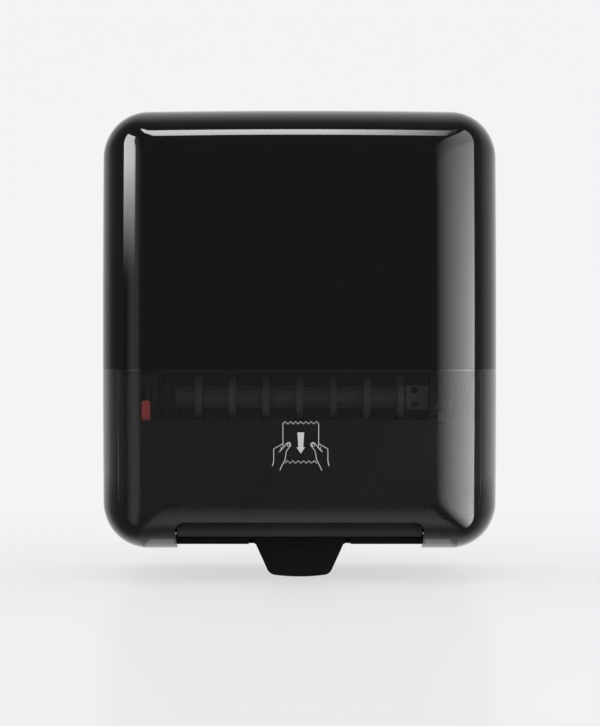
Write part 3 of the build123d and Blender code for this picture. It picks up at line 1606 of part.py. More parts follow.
pieces = {
    "back_plate": back_plate,
    "hinge_pins": hinge_pins,
    "cover_upper": cover_upper,
    "cover_window": cover_window,
    "lock_bush": lock_bush,
    "lock_barrel": lock_barrel,
    "latch_hook": latch_hook,
    "latch_screw": latch_screw,
    "chassis_left": chassis_left,
    "chassis_right": chassis_right,
    "chassis_screws": chassis_screws,
    "drum_bush_left": drum_bush_left,
    "drum_bush_right": drum_bush_right,
    "drum_shell": drum_shell,
    "grip_bands": grip_bands,
    "drum_end_left": drum_end_left,
    "drum_end_right": drum_end_right,
    "knife_shaft": knife_shaft,
    "knife_bracket": knife_bracket,
    "bracket_screws": bracket_screws,
    "knife_carrier": knife_carrier,
    "knife_blade": knife_blade,
    "blade_screws": blade_screws,
    "hand_wheel": hand_wheel,
    "wheel_screw": wheel_screw,
    "assist_cam": assist_cam,
    "assist_pin": assist_pin,
    "assist_lever": assist_lever,
    "assist_roller": assist_roller,
    "assist_spring": assist_spring,
    "pinch_spring": pinch_spring,
    "pinch_frame": pinch_frame,
    "pinch_roller": pinch_roller,
    "pinch_cap": pinch_cap,
    "cap_screws": cap_screws,
    "release_lever": release_lever,
    "lever_bezel": lever_bezel,
    "drum_guard": drum_guard,
    "guard_screws": guard_screws,
    "paper_chute": paper_chute,
    "chute_screws": chute_screws,
    "roll_arm_left": roll_arm_left,
    "roll_arm_right": roll_arm_right,
    "roll_hub_left": roll_hub_left,
    "roll_hub_right": roll_hub_right,
    "hub_clip_left": hub_clip_left,
    "hub_clip_right": hub_clip_right,
    "arm_spring_left": arm_spring_left,
    "arm_spring_right": arm_spring_right,
    "arm_pins": arm_pins,
}

os.makedirs("parts", exist_ok=True)
for name, piece in pieces.items():
    piece.part.label = name
    export_step(piece.part, f"parts/{name}.step")
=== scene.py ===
import bpy
import bmesh
import numpy as np
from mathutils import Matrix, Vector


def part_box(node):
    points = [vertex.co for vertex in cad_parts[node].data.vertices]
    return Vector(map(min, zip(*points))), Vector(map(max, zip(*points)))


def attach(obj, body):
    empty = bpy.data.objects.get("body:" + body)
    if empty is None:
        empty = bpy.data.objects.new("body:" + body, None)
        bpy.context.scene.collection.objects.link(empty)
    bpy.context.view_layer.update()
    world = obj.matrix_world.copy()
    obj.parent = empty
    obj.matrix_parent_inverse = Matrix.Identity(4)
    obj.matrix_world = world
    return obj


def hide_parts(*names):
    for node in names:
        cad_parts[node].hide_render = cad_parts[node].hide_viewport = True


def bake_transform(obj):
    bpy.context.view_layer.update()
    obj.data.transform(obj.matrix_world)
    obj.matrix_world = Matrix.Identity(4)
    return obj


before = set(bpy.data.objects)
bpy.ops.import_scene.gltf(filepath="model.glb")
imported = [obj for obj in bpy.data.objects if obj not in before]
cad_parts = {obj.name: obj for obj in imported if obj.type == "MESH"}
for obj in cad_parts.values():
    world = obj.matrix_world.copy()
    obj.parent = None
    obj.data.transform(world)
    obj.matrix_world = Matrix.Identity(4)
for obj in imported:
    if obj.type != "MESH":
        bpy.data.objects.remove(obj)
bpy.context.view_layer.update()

# Back plate: a shallow tray moulded in black ABS with a spark-eroded face, so that it looks matt.
# Four screws hold it to the wall, and every other piece hangs on it.


def principled(name):
    """A new material, with its node tree and its main shader."""
    finish = bpy.data.materials.new(name)
    finish.use_nodes = True
    return finish, finish.node_tree, finish.node_tree.nodes["Principled BSDF"]


def noise(tree, place, scale, detail):
    """A noise at a place, with a scale in grains to the metre."""
    grains = tree.nodes.new("ShaderNodeTexNoise")
    grains.inputs["Scale"].default_value = scale
    grains.inputs["Detail"].default_value = detail
    tree.links.new(place, grains.inputs["Vector"])
    return grains.outputs["Fac"]


def ranged(tree, value, start, stop, low=0.0, high=1.0):
    """A value that goes evenly from low to high as another goes from start to stop, and stays at its
    ends beyond them."""
    carry = tree.nodes.new("ShaderNodeMapRange")
    for name, level in (("From Min", start), ("From Max", stop), ("To Min", low), ("To Max", high)):
        carry.inputs[name].default_value = level
    tree.links.new(value, carry.inputs["Value"])
    return carry.outputs["Result"]


def two_shades(tree, value, colour, dark, light):
    """A colour that goes from a dark to a light share of itself as a value goes from 0.3 to 0.7."""
    shade = tree.nodes.new("ShaderNodeValToRGB")
    for stop, position, share in zip(shade.color_ramp.elements, (0.3, 0.7), (dark, light)):
        stop.position = position
        stop.color = tuple(share * c for c in colour) + (1.0,)
    tree.links.new(value, shade.inputs["Fac"])
    return shade.outputs["Color"]


def moulded(name, colour, rough, grain, relief, shine=0.5):
    """A moulded plastic. A broad noise shifts its shade and gloss a little, as flow in the mould does,
    and a fine noise of the given grain, in grains to the metre, gives the relief of the mould's skin.
    The shine is the share of light that the skin mirrors, 0.5 for a plain plastic."""
    finish, tree, skin = principled(name)
    skin.inputs["Specular IOR Level"].default_value = shine
    place = tree.nodes.new("ShaderNodeTexCoord").outputs["Object"]
    flow_grain, shade_shift, gloss_shift = 24.0, 0.14, 0.05
    flow = noise(tree, place, flow_grain, 4.0)
    shades = two_shades(tree, flow, colour, 1 - shade_shift, 1 + shade_shift)
    gloss = ranged(tree, flow, 0.3, 0.7, rough - gloss_shift, rough + gloss_shift)
    tree.links.new(shades, skin.inputs["Base Color"])
    tree.links.new(gloss, skin.inputs["Roughness"])
    bump = tree.nodes.new("ShaderNodeBump")
    bump.inputs["Strength"].default_value = 0.35
    bump.inputs["Distance"].default_value = relief
    tree.links.new(noise(tree, place, grain, 2.0), bump.inputs["Height"])
    tree.links.new(bump.outputs["Normal"], skin.inputs["Normal"])
    return finish


def dress(finish, *nodes):
    """Puts a finish on CAD nodes."""
    for node in nodes:
        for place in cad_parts[node].material_slots:
            place.material = finish


sparked_black = moulded("sparked_black", (0.028, 0.028, 0.029), 0.62, 3500.0, 0.00003, 0.2)
dress(sparked_black, "back_plate")

# Chassis plates: two side plates of the same black ABS, each flanged to the back plate with three
# blackened screws. Pale acetal bushes in them carry the drum, and drawn steel pins the rest.


def turned_steel(name, colour, rough, along):
    """Steel with fine marks. A noise shades and roughens it, with a scale of its own along each axis, in
    grains to the metre, so that drawing marks run along the axis with the lowest."""
    finish, tree, skin = principled(name)
    skin.inputs["Metallic"].default_value = 1.0
    place = tree.nodes.new("ShaderNodeTexCoord")
    stretch = tree.nodes.new("ShaderNodeMapping")
    stretch.inputs["Scale"].default_value = along
    tree.links.new(place.outputs["Object"], stretch.inputs["Vector"])
    dark, light, gloss_shift = 0.8, 1.1, 0.08
    marks = noise(tree, stretch.outputs["Vector"], 1.0, 5.0)
    gloss = ranged(tree, marks, 0.0, 1.0, rough - gloss_shift, rough + gloss_shift)
    tree.links.new(two_shades(tree, marks, colour, dark, light), skin.inputs["Base Color"])
    tree.links.new(gloss, skin.inputs["Roughness"])
    return finish


chassis_black = moulded("chassis_black", (0.018, 0.018, 0.019), 0.5, 3000.0, 0.00003, 0.3)
pale_acetal = moulded("pale_acetal", (0.55, 0.55, 0.53), 0.38, 700.0, 0.00002)
zinc_plate = turned_steel("zinc_plate", (0.52, 0.52, 0.5), 0.34, (900.0, 900.0, 900.0))
black_oxide = turned_steel("black_oxide", (0.03, 0.03, 0.032), 0.45, (500.0, 500.0, 500.0))
drawn_steel = turned_steel("drawn_steel", (0.58, 0.58, 0.6), 0.28, (60.0, 1800.0, 1800.0))
dress(chassis_black, "chassis_left", "chassis_right")
dress(pale_acetal, "drum_bush_left", "drum_bush_right")
dress(black_oxide, "chassis_screws", "bracket_screws", "guard_screws", "chute_screws")
dress(drawn_steel, "hinge_pins", "assist_pin")

# Feed drum: a grey nylon tube with two end caps, seven soft grip bands in its grooves and a slot for
# the knife. The notched hand wheel and the lobed assist cam are pushed onto its ends.
drum_nylon = moulded("drum_nylon", (0.11, 0.11, 0.115), 0.42, 900.0, 0.00004)
grip_rubber = moulded("grip_rubber", (0.035, 0.035, 0.036), 0.8, 2200.0, 0.00016)
wheel_nylon = moulded("wheel_nylon", (0.14, 0.14, 0.146), 0.46, 1100.0, 0.00006)
dress(drum_nylon, "drum_shell", "drum_end_left", "drum_end_right")
dress(grip_rubber, "grip_bands")
dress(wheel_nylon, "hand_wheel", "assist_cam")
dress(zinc_plate, "wheel_screw")

# Knife: a toothed strip of spring steel screwed to a nylon carrier, which turns on a ground steel
# shaft. A pressed bracket, dipped in black paint, keeps the shaft still outside the right plate.
ground_steel = turned_steel("ground_steel", (0.62, 0.62, 0.63), 0.2, (40.0, 2600.0, 2600.0))
blade_steel = turned_steel("blade_steel", (0.6, 0.6, 0.61), 0.26, (2400.0, 120.0, 120.0))
pressed_steel = turned_steel("pressed_steel", (0.5, 0.5, 0.5), 0.4, (300.0, 300.0, 300.0))
dipped_black = moulded("dipped_black", (0.02, 0.02, 0.02), 0.5, 1500.0, 0.00004, 0.3)
dress(ground_steel, "knife_shaft")
dress(blade_steel, "knife_blade")
dress(dipped_black, "knife_bracket")
dress(wheel_nylon, "knife_carrier")
dress(zinc_plate, "blade_screws")

# Springs: hard-drawn steel wire with a dark skin, wound close. The two tension springs end in loops
# round the studs of the plates and levers. A short torsion spring sits round each arm's pin.
stud_radius, spring_radius, wire_width = 0.002, 0.0034, 0.0012
loop_start, loop_end, lead_turns = np.radians(60), np.radians(-270), 1 / 3
loop_points, turn_points, arm_points = 40, 22, 150
arm_pin_x, arm_pin_y = 0.111, -0.014
arm_turns, arm_coil_radius, arm_wire_radius, arm_end_room = 6, 0.0046, 0.0007, 0.0008


def sheet_of(name, points, around=False, along=False, flip=False):
    """A mesh on a grid of points [row, column, xyz]: a quad between each four neighbours, closed
    round the columns or along the rows where asked."""
    rows, columns = points.shape[:2]
    index = np.arange(rows * columns).reshape(rows, columns)
    if around:
        index = np.hstack([index, index[:, :1]])
    if along:
        index = np.vstack([index, index[:1]])
    quads = np.stack([index[:-1, :-1], index[:-1, 1:], index[1:, 1:], index[1:, :-1]], axis=-1)
    quads = quads.reshape(-1, 4)
    if flip:
        quads = quads[:, ::-1]
    mesh = bpy.data.meshes.new(name)
    mesh.from_pydata(points.reshape(-1, 3).tolist(), [], quads.tolist())
    mesh.polygons.foreach_set("use_smooth", np.ones(len(mesh.polygons), bool))
    return mesh


def wire(name, path, radius, sides=10):
    """A round wire: a circle carried along a path, in the plane across the path at each point and
    started square to one slanting direction, with both ends rounded to a tip."""
    slant, tip, shoulder = (0.31, 0.77, 0.55), 0.02, 0.75
    tangent = np.gradient(path, axis=0)
    tangent /= np.linalg.norm(tangent, axis=1, keepdims=True)
    across = np.cross(tangent, slant)
    across /= np.linalg.norm(across, axis=1, keepdims=True)
    over = np.cross(tangent, across)
    turn = np.linspace(0, 2 * np.pi, sides, endpoint=False)[None, :, None]
    size = np.ones(len(path))
    size[[0, -1]] = tip
    size[[1, -2]] = shoulder
    ring = np.cos(turn) * across[:, None] + np.sin(turn) * over[:, None]
    return sheet_of(name, path[:, None] + radius * size[:, None, None] * ring, around=True)


def placed(mesh, finish):
    """An object of a mesh at the origin, with its finish and the record's slot."""
    piece = bpy.data.objects.new(mesh.name, mesh)
    bpy.context.scene.collection.objects.link(piece)
    mesh.materials.append(finish)
    return piece


def tension_spring(name, x, y, foot, top, turns):
    """A close coil between two loops. The loops are arcs round the studs, in the plane of Y and Z, and
    the coil climbs evenly from one to the other. Its radius grows from nothing over the first third of
    a turn and falls back over the last."""
    loop = stud_radius + wire_width
    low, high = foot + loop + wire_width, top - loop - wire_width
    swing = np.linspace(loop_start, loop_end, loop_points)
    ring = loop * np.stack([0 * swing, np.sin(swing), -np.cos(swing)], axis=1)
    under, over = ring[::-1] * (1, 1, -1) + (x, y, foot), ring + (x, y, top)
    turn = np.linspace(0, 2 * np.pi * turns, turns * turn_points)
    share = turn / turn[-1]
    lead = np.clip(np.minimum(share, 1 - share) * turns / lead_turns, 0, 1)
    wide, climb = spring_radius * lead, low + (high - low) * share
    coil = np.stack([wide * np.sin(turn), wide * np.cos(turn), climb], axis=1) + (x, y, 0)
    return wire(name, np.vstack([under[:-1], coil[1:-1], over[1:]]), wire_width / 2)


spring_wire = turned_steel("spring_wire", (0.14, 0.14, 0.145), 0.3, (700.0, 700.0, 700.0))
assist_mesh = tension_spring("assist_coil", 0.123, -0.062, -0.135, -0.075, 28)
assist_coil = placed(assist_mesh, spring_wire)
pinch_mesh = tension_spring("pinch_coil", -0.1325, -0.066, -0.083, -0.043, 16)
pinch_coil = placed(pinch_mesh, spring_wire)
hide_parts("assist_spring")
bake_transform(assist_coil)
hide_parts("pinch_spring")
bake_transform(pinch_coil)
for side, node in ((-1, "arm_spring_left"), (1, "arm_spring_right")):
    low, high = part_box(node)
    turn = np.linspace(0, 2 * np.pi * arm_turns, arm_points)
    climb = np.linspace(low.z + arm_end_room, high.z - arm_end_room, arm_points)
    coil = arm_coil_radius * np.stack([np.cos(turn), np.sin(turn), 0 * turn], axis=1)
    coil += np.stack([0 * turn + side * arm_pin_x, 0 * turn + arm_pin_y, climb], axis=1)
    arm_coil = placed(wire(f"{node}_coil", coil, arm_wire_radius), spring_wire)
    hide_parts(node)
    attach(arm_coil, "housing")

# Assist lever: a black nylon arm pivoted on a pin of the right plate. Its spring pulls the grey roller
# at its end towards the cam on the drum.
dress(chassis_black, "assist_lever")
dress(wheel_nylon, "assist_roller")

# Pinch roller: seven discs on a splined grey core, carried in a black frame that presses it on the
# drum. A grey cap plate with two blackened screws closes the frame's right end.
roller_grey = moulded("roller_grey", (0.13, 0.13, 0.13), 0.4, 800.0, 0.00003)
dress(chassis_black, "pinch_frame")
dress(roller_grey, "pinch_roller", "pinch_cap")
dress(black_oxide, "cap_screws")

# Release lever: a red thumb lever that lifts the pinch roller, standing in a black frame that is
# pegged to the left plate.
signal_red = moulded("signal_red", (0.86, 0.115, 0.1), 0.35, 900.0, 0.00003)
dress(signal_red, "release_lever")
dress(chassis_black, "lever_bezel")

# Guard and chute: the guard is a bent black sheet that hides the drum and ends in the outlet's lip.
# The chute below it guides the towel over its ribs, and its tongue hangs out under the cover.
satin_black = moulded("satin_black", (0.016, 0.016, 0.0163), 0.33, 3200.0, 0.00001, 0.42)
matt_black = moulded("matt_black", (0.0085, 0.0085, 0.0088), 0.45, 3200.0, 0.00002, 0.08)
dress(satin_black, "drum_guard")
dress(matt_black, "paper_chute")

# Roll holder: two black moulded arms on upright steel pins. Each carries a grey hub for the roll's core,
# held by a pale clip.
dress(chassis_black, "roll_arm_left", "roll_arm_right")
dress(wheel_nylon, "roll_hub_left", "roll_hub_right")
dress(pale_acetal, "hub_clip_left", "hub_clip_right")
dress(drawn_steel, "arm_pins")

# Upper cover: a high-gloss black shell, moulded in one piece and laid over the window's lap band.
# Its sides draw in slightly to the rear rim, and an oval roll leads from them to the flat front.
half_width, half_height = 0.16846, 0.187
rim_depth, roll_start, roll_depth = 0.040, 0.133, 0.06995
seam_z = -0.034
cover_wall = 0.003
rim_draw, side_roll, end_roll = 0.002, 0.058, 0.042
side_bow, top_bow = 0.0009, 0.0017
edge_round, weld_gap, sliver = 0.00035, 0.00002, 0.00001
corner_radius, front_corner, corner_fall = 0.040, 0.008, 3
lock_y, lock_bore, lock_low, lock_high = -0.075, 0.00955, 0.17, 0.20


def cover_skin(name, way):
    """The part of the cover's outer skin above (way 1) or below (way -1) the seam, on a grid.
    Across, a row runs from the seam down one side, round a corner, along the end and back up to the
    seam. The corner's radius is 40 mm at the rim and falls over the roll to 8 mm at the front, with
    the cube of the cosine of the roll's angle. Along, the rows run forward from the rim, where the
    outline is 2 mm smaller, to the start of the roll, then over a quarter of an ellipse 58 mm by 70 mm
    at the sides and 42 mm by 70 mm at the ends, and last over the flat front to the seam line. The
    sides bow out by 0.9 mm and the top by 1.7 mm, with the square of the distance from the middle."""
    straight = np.linspace(rim_depth, roll_start, 18)[:-1]
    lean = np.radians(90 * np.linspace(0, 1, 49))
    depth = np.concatenate([straight, roll_start + roll_depth * np.sin(lean)])[:, None]
    draw = rim_draw * (roll_start - straight) / (roll_start - rim_depth)
    wide = half_width - np.concatenate([draw, side_roll * (1 - np.cos(lean))])[:, None]
    tall = half_height - np.concatenate([draw, end_roll * (1 - np.cos(lean))])[:, None]
    fall = np.concatenate([np.ones_like(straight), np.cos(lean) ** corner_fall])[:, None]
    bend = front_corner + (corner_radius - front_corner) * fall
    up, corner, end = np.linspace(0, 1, 26)[:-1], np.linspace(180, 90, 25)[:-1], np.linspace(-1, 1, 61)
    ones = np.ones_like
    centre = np.concatenate([-ones(up), -ones(corner), end, ones(corner), ones(up)])
    climb = np.concatenate([up, ones(corner), ones(end), ones(corner), up[::-1]])
    turn = np.concatenate([180 * ones(up), corner, 90 * ones(end), (180 - corner)[::-1], 0 * up])
    turn = np.radians(turn)
    x = centre * (wide - bend) + bend * np.cos(turn)
    z = seam_z + way * (climb * (tall - bend - way * seam_z) + bend * np.sin(turn))
    bowed = x * (1 - side_bow / wide * (z / tall) ** 2)
    z = z - top_bow * (x / wide) ** 2 * np.clip(z, 0, None) / tall
    skin = np.stack([bowed, np.broadcast_to(-depth, x.shape), z], axis=-1)
    ring = skin[-1]
    line = ring.copy()
    line[:, 0] = np.linspace(ring[0, 0], ring[-1, 0], len(ring))
    line[:, 2] = seam_z
    inward = np.linspace(0, 1, 16)[1:, None, None]
    front = ring + (line - ring) * inward
    return sheet_of(name, np.concatenate([skin, front]), flip=way > 0)


def settle(piece):
    """Works a piece's modifiers into its mesh."""
    graph = bpy.context.evaluated_depsgraph_get()
    mesh = bpy.data.meshes.new_from_object(piece.evaluated_get(graph))
    mesh.name = piece.name
    piece.modifiers.clear()
    piece.data = mesh


def walled(piece, cuts, joins):
    """Turns an open skin into a wall of the cover's thickness, cuts openings through it, joins solids
    to it and rounds its edges."""
    seam = bmesh.new()
    seam.from_mesh(piece.data)
    bmesh.ops.remove_doubles(seam, verts=seam.verts, dist=weld_gap)
    bmesh.ops.dissolve_degenerate(seam, edges=seam.edges, dist=sliver)
    seam.to_mesh(piece.data)
    seam.free()
    wall = piece.modifiers.new("wall", "SOLIDIFY")
    wall.thickness = cover_wall
    wall.offset = -1
    wall.use_even_offset = True
    wall.material_offset = len(piece.data.materials) - 1
    for tools, operation in ((joins, "UNION"), (cuts, "DIFFERENCE")):
        for tool in tools:
            step = piece.modifiers.new(tool.name, "BOOLEAN")
            step.operation = operation
            step.solver = "EXACT"
            step.object = tool
    rounding = piece.modifiers.new("edge", "BEVEL")
    rounding.width = edge_round
    rounding.segments = 3
    rounding.limit_method = "ANGLE"
    rounding.angle_limit = np.radians(50)
    rounding.harden_normals = True
    settle(piece)
    for tool in list(cuts) + list(joins):
        bpy.data.objects.remove(tool)


def prism(name, outline, start, end, axis):
    """A straight bar: a closed outline of points carried from start to end along an axis, with both
    ends filled. The outline gives the two other coordinates in order."""
    count = len(outline)
    ends = np.zeros((2, count, 3))
    others = [k for k in range(3) if k != axis]
    ends[:, :, others] = outline
    ends[0, :, axis], ends[1, :, axis] = start, end
    ring = np.arange(count)
    after = np.roll(ring, -1)
    faces = np.stack([ring, after, after + count, ring + count], axis=1).tolist()
    faces += [ring[::-1].tolist(), (ring + count).tolist()]
    mesh = bpy.data.meshes.new(name)
    mesh.from_pydata(ends.reshape(-1, 3).tolist(), [], faces)
    shape = bmesh.new()
    shape.from_mesh(mesh)
    bmesh.ops.recalc_face_normals(shape, faces=shape.faces)
    shape.to_mesh(mesh)
    shape.free()
    piece = bpy.data.objects.new(name, mesh)
    bpy.context.scene.collection.objects.link(piece)
    return piece


def circle(centre, radius, count=64):
    """Points evenly round a circle."""
    turn = np.linspace(0, 2 * np.pi, count, endpoint=False)[:, None]
    return np.array(centre) + radius * np.hstack([np.cos(turn), np.sin(turn)])


def high_gloss(name, colour, rough):
    """Polished plastic: a clear gloss whose roughness drifts slightly from place to place."""
    finish, tree, skin = principled(name)
    skin.inputs["Base Color"].default_value = colour + (1.0,)
    skin.inputs["IOR"].default_value = 1.5
    place = tree.nodes.new("ShaderNodeTexCoord")
    drift_grain, gloss_shift = 14.0, 0.02
    drift = noise(tree, place.outputs["Object"], drift_grain, 3.0)
    gloss = ranged(tree, drift, 0.0, 1.0, rough - gloss_shift, rough + gloss_shift)
    tree.links.new(gloss, skin.inputs["Roughness"])
    return finish


gloss_black = high_gloss("gloss_black_shell", (0.0088, 0.0088, 0.009), 0.06)
upper_cover = placed(cover_skin("upper_cover", 1), gloss_black)
lock_hole = prism("lock_hole", circle((0, lock_y), lock_bore), lock_low, lock_high, 2)
walled(upper_cover, [lock_hole], [])
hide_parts("cover_upper")
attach(upper_cover, "cover")

# Smoked window: the lower half of the cover in dark see-through polycarbonate, open at the outlet and
# under the body. A lap band inside its upper edge carries the upper cover, and two knuckles hinge it.
# The foot's darker tint and the foot's levels below paint shade on the window towards its foot and lower
# corners.
smoke_tint, foot_shade_tint = (0.029, 0.029, 0.0295), (0.011, 0.011, 0.0112)
face_cover, face_gloss = 0.27, 0.135
graze_start, graze_full = 0.3, 0.65
foot_dark_start, foot_dark_full, foot_dark_most = -0.145, -0.168, 0.9
corner_start, corner_slope = 0.115, 0.5
lip_half, lip_top, lip_clear = 0.133, -0.1765, 0.42
foot_z = -half_height
outlet_half, outlet_height, outlet_round = 0.1035, 0.026, 0.008
gap_half, gap_height = 0.132, 0.012
outlet_front, gap_front, cut_back, cut_drop = -0.21, -0.15, -0.02, 0.01
hinge_y, hinge_z, pin_bore, pin_half = -0.030, foot_z + 0.008, 0.00205, 0.16
knuckle_radius, knuckle_x, knuckle_half, eye_share = 0.0065, 0.141, 0.006, 0.866
tongue_front, tongue_half = -0.060, knuckle_radius / 2
lap_rear, lap_roll = 0.045, 0.070
lap_sunk, lap_outer, lap_inner = 0.0026, 0.00315, 0.00515
lap_foot, lap_step, lap_height = 0.002, 0.0001, 0.008
smoke = high_gloss("smoked_polycarbonate", smoke_tint, 0.06)
tree = smoke.node_tree
tint = tree.nodes["Principled BSDF"]
tint.inputs["IOR"].default_value = 2.38


def reckon(tree, kind, first, second):
    """A Math node on two values, each a socket or a number."""
    node = tree.nodes.new("ShaderNodeMath")
    node.operation = kind
    for socket, value in zip(node.inputs, (first, second)):
        if isinstance(value, bpy.types.NodeSocket):
            tree.links.new(value, socket)
        else:
            socket.default_value = value
    return node.outputs["Value"]


# The tint lets through less where it is seen along the wall. Towards the foot and its corners it is also
# made darker and less see-through, partly for the long path through the foot's wall and partly as painted
# shade over the parts inside, except on the lip over the foot's gap, which has no wall behind it.
place = tree.nodes["Texture Coordinate"]
axes = tree.nodes.new("ShaderNodeSeparateXYZ")
tree.links.new(place.outputs["Object"], axes.inputs["Vector"])
aside = reckon(tree, "ABSOLUTE", axes.outputs["X"], 0.0)
near = reckon(tree, "LESS_THAN", aside, lip_half)
lip = reckon(tree, "MULTIPLY", near, reckon(tree, "LESS_THAN", axes.outputs["Z"], lip_top))
look = tree.nodes.new("ShaderNodeLayerWeight")
graze = ranged(tree, look.outputs["Facing"], graze_start, graze_full)
corner = reckon(tree, "MAXIMUM", reckon(tree, "SUBTRACT", aside, corner_start), 0.0)
drop = reckon(tree, "SUBTRACT", axes.outputs["Z"], reckon(tree, "MULTIPLY", corner, corner_slope))
foot_path_and_painted_shade = ranged(tree, drop, foot_dark_start, foot_dark_full, 0.0, foot_dark_most)
clear = reckon(tree, "SUBTRACT", 1.0, reckon(tree, "MULTIPLY", lip, lip_clear))
graze_and_foot_shade = reckon(tree, "MAXIMUM", graze, foot_path_and_painted_shade)
along = reckon(tree, "MULTIPLY", graze_and_foot_shade, clear)
tree.links.new(ranged(tree, along, 0.0, 1.0, face_cover, 1.0), tint.inputs["Alpha"])
# Painted shade: the window's base colour darkens towards the foot and its corners.
foot_shade_ramp = tree.nodes.new("ShaderNodeValToRGB")
for stop, colour in zip(foot_shade_ramp.color_ramp.elements, (smoke_tint, foot_shade_tint)):
    stop.color = colour + (1.0,)
tree.links.new(foot_path_and_painted_shade, foot_shade_ramp.inputs["Fac"])
tree.links.new(foot_shade_ramp.outputs["Color"], tint.inputs["Base Color"])
smoke_inside = smoke.copy()
smoke_inside.name = "smoked_polycarbonate_inside"
smoke_inside.node_tree.nodes["Principled BSDF"].inputs["Specular IOR Level"].default_value = 0.0
share = reckon(tree, "ADD", face_cover, reckon(tree, "MULTIPLY", foot_path_and_painted_shade, 1 - face_cover))
tree.links.new(reckon(tree, "DIVIDE", face_gloss, share), tint.inputs["Specular IOR Level"])
window = placed(cover_skin("smoked_window", -1), smoke)
window.data.materials.append(smoke_inside)
arch = outlet_round * circle((0, 0), 1, 48)[:13]
right = arch + (outlet_half - outlet_round, foot_z + outlet_height - outlet_round)
foot_ends = np.array([(outlet_half, foot_z - cut_drop), (-outlet_half, foot_z - cut_drop)])
outlet = np.vstack([foot_ends[:1], right, right[::-1] * (-1, 1), foot_ends[1:]])
outlet_cut = prism("outlet_cut", outlet, outlet_front, cut_back, 1)
gap = np.array([(1, -cut_drop), (1, gap_height), (-1, gap_height), (-1, -cut_drop)]) * (gap_half, 1)
foot_cut = prism("foot_cut", gap + (0, foot_z), gap_front, cut_back, 1)
pin_cut = prism("pin_cut", circle((hinge_y, hinge_z), pin_bore), -pin_half, pin_half, 0)
knuckles = []
for side in (-1, 1):
    eye = circle((hinge_y, hinge_z), knuckle_radius, 72)
    eye = eye[eye[:, 0] > hinge_y - knuckle_radius * eye_share]
    eye = eye[np.argsort(np.arctan2(eye[:, 1] - hinge_z, eye[:, 0] - hinge_y))]
    tongue = np.array([(tongue_front, hinge_z + tongue_half), (tongue_front, hinge_z - tongue_half)])
    start, end = side * knuckle_x - knuckle_half, side * knuckle_x + knuckle_half
    knuckles.append(prism(f"knuckle_{side}", np.vstack([eye, tongue]), start, end, 0))
walled(window, [outlet_cut, foot_cut, pin_cut], knuckles)


def lap_path(inset, lean):
    """The cover's level section at the seam, drawn in by an inset: along one side from the lap's rear,
    over the oval roll, across the front and back along the other side."""
    side_y = np.linspace(lap_rear, roll_start, 8)[:-1]
    side_x = half_width - inset - rim_draw * (roll_start - side_y) / (roll_start - rim_depth)
    roll_x = half_width - inset - (side_roll - inset) * (1 - np.cos(lean))
    roll_y = roll_start + (lap_roll - inset) * np.sin(lean)
    x, y = np.concatenate([side_x, roll_x]), np.concatenate([side_y, roll_y])
    return np.stack([np.concatenate([-x, x[::-1]]), np.concatenate([-y, -y[::-1]])], axis=1)


lean = np.radians(90 * np.linspace(0, 1, 25))
# Each level of the band's outer face, with its inset: two inside the window's wall and two above it.
levels = [(seam_z - lap_foot, lap_sunk), (seam_z - lap_step, lap_sunk), (seam_z, lap_outer),
          (seam_z + lap_height, lap_outer)]
outer = [np.insert(lap_path(inset, lean), 2, level, axis=1) for level, inset in levels]
inner = [np.insert(lap_path(lap_inner, lean), 2, level, axis=1) for level in (levels[3][0], levels[0][0])]
lap = sheet_of("lap_band", np.array(outer + inner), along=True)
lap_piece = placed(lap, smoke)
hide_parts("cover_window")
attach(window, "cover")
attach(lap_piece, "cover")

# Pictogram: a sheet with two torn edges, an arrow down and a hand at each side, printed in pale ink on
# the front of the window.


def ribbon(path, width):
    """A flat stroke: a path of points carried half its width to either side, square to its run."""
    run = np.gradient(path, axis=0)
    run /= np.linalg.norm(run, axis=1, keepdims=True)
    side = np.stack([-run[:, 1], run[:, 0]], axis=1) * width / 2
    return np.stack([path + side, path - side], axis=1)


def flowing(knots, steps=8):
    """A smooth path through knots: between each two it is the cubic whose slope at a knot is half the
    step from the knot before it to the knot after it."""
    knots = np.array(knots, float)
    ends = np.vstack([2 * knots[0] - knots[1], knots, 2 * knots[-1] - knots[-2]])
    a, b, c, d = (ends[k:len(ends) - 3 + k, None] for k in range(4))
    t = np.linspace(0, 1, steps, endpoint=False)[None, :, None]
    bow = t ** 2 * (a - 2.5 * b + 2 * c - d / 2)
    sway = t ** 3 * (1.5 * b - 1.5 * c + (d - a) / 2)
    curve = b + t * (c - a) / 2 + bow + sway
    return np.vstack([curve.reshape(-1, 2), knots[-1:]])


def torn_edge(reach, low, high, count):
    """A zigzag across the sheet from one side to the other, which starts and ends at its low level."""
    level = np.where(np.arange(count) % 2, high, low)
    return np.stack([np.linspace(-reach, reach, count), level], axis=1)


ink_x, ink_z, ink_y = 0.0010, -0.0936, -0.20298
stroke = 0.0006
edge = np.array([(0.0148, 0.0146), (0.0148, 0.0040), (0.0146, -0.0050)])
wrist = np.array([(0.0234, -0.0203), (0.0230, -0.0186), (0.0224, -0.0166), (0.0224, -0.0062),
                  (0.0150, -0.0020)])
thumb = flowing([(0.0179, -0.0087), (0.0142, -0.0050), (0.0121, -0.0021), (0.0103, -0.0009),
                 (0.0086, -0.0016), (0.0083, -0.0032), (0.0095, -0.0048), (0.0117, -0.0079),
                 (0.0124, -0.0108), (0.0129, -0.0145), (0.0146, -0.0182), (0.0162, -0.0211),
                 (0.0172, -0.0240)])
nail = circle((0.0103, -0.0028), 0.0012, 20)
nail = np.vstack([nail, nail[:2]])
crease = np.array([(0.0164, -0.0046), (0.0158, -0.0060), (0.0168, -0.0068)])
flip = np.array([-1, 1])
paths = [torn_edge(0.0150, 0.0143, 0.0165, 15), torn_edge(0.0132, -0.0181, -0.0158, 13)]
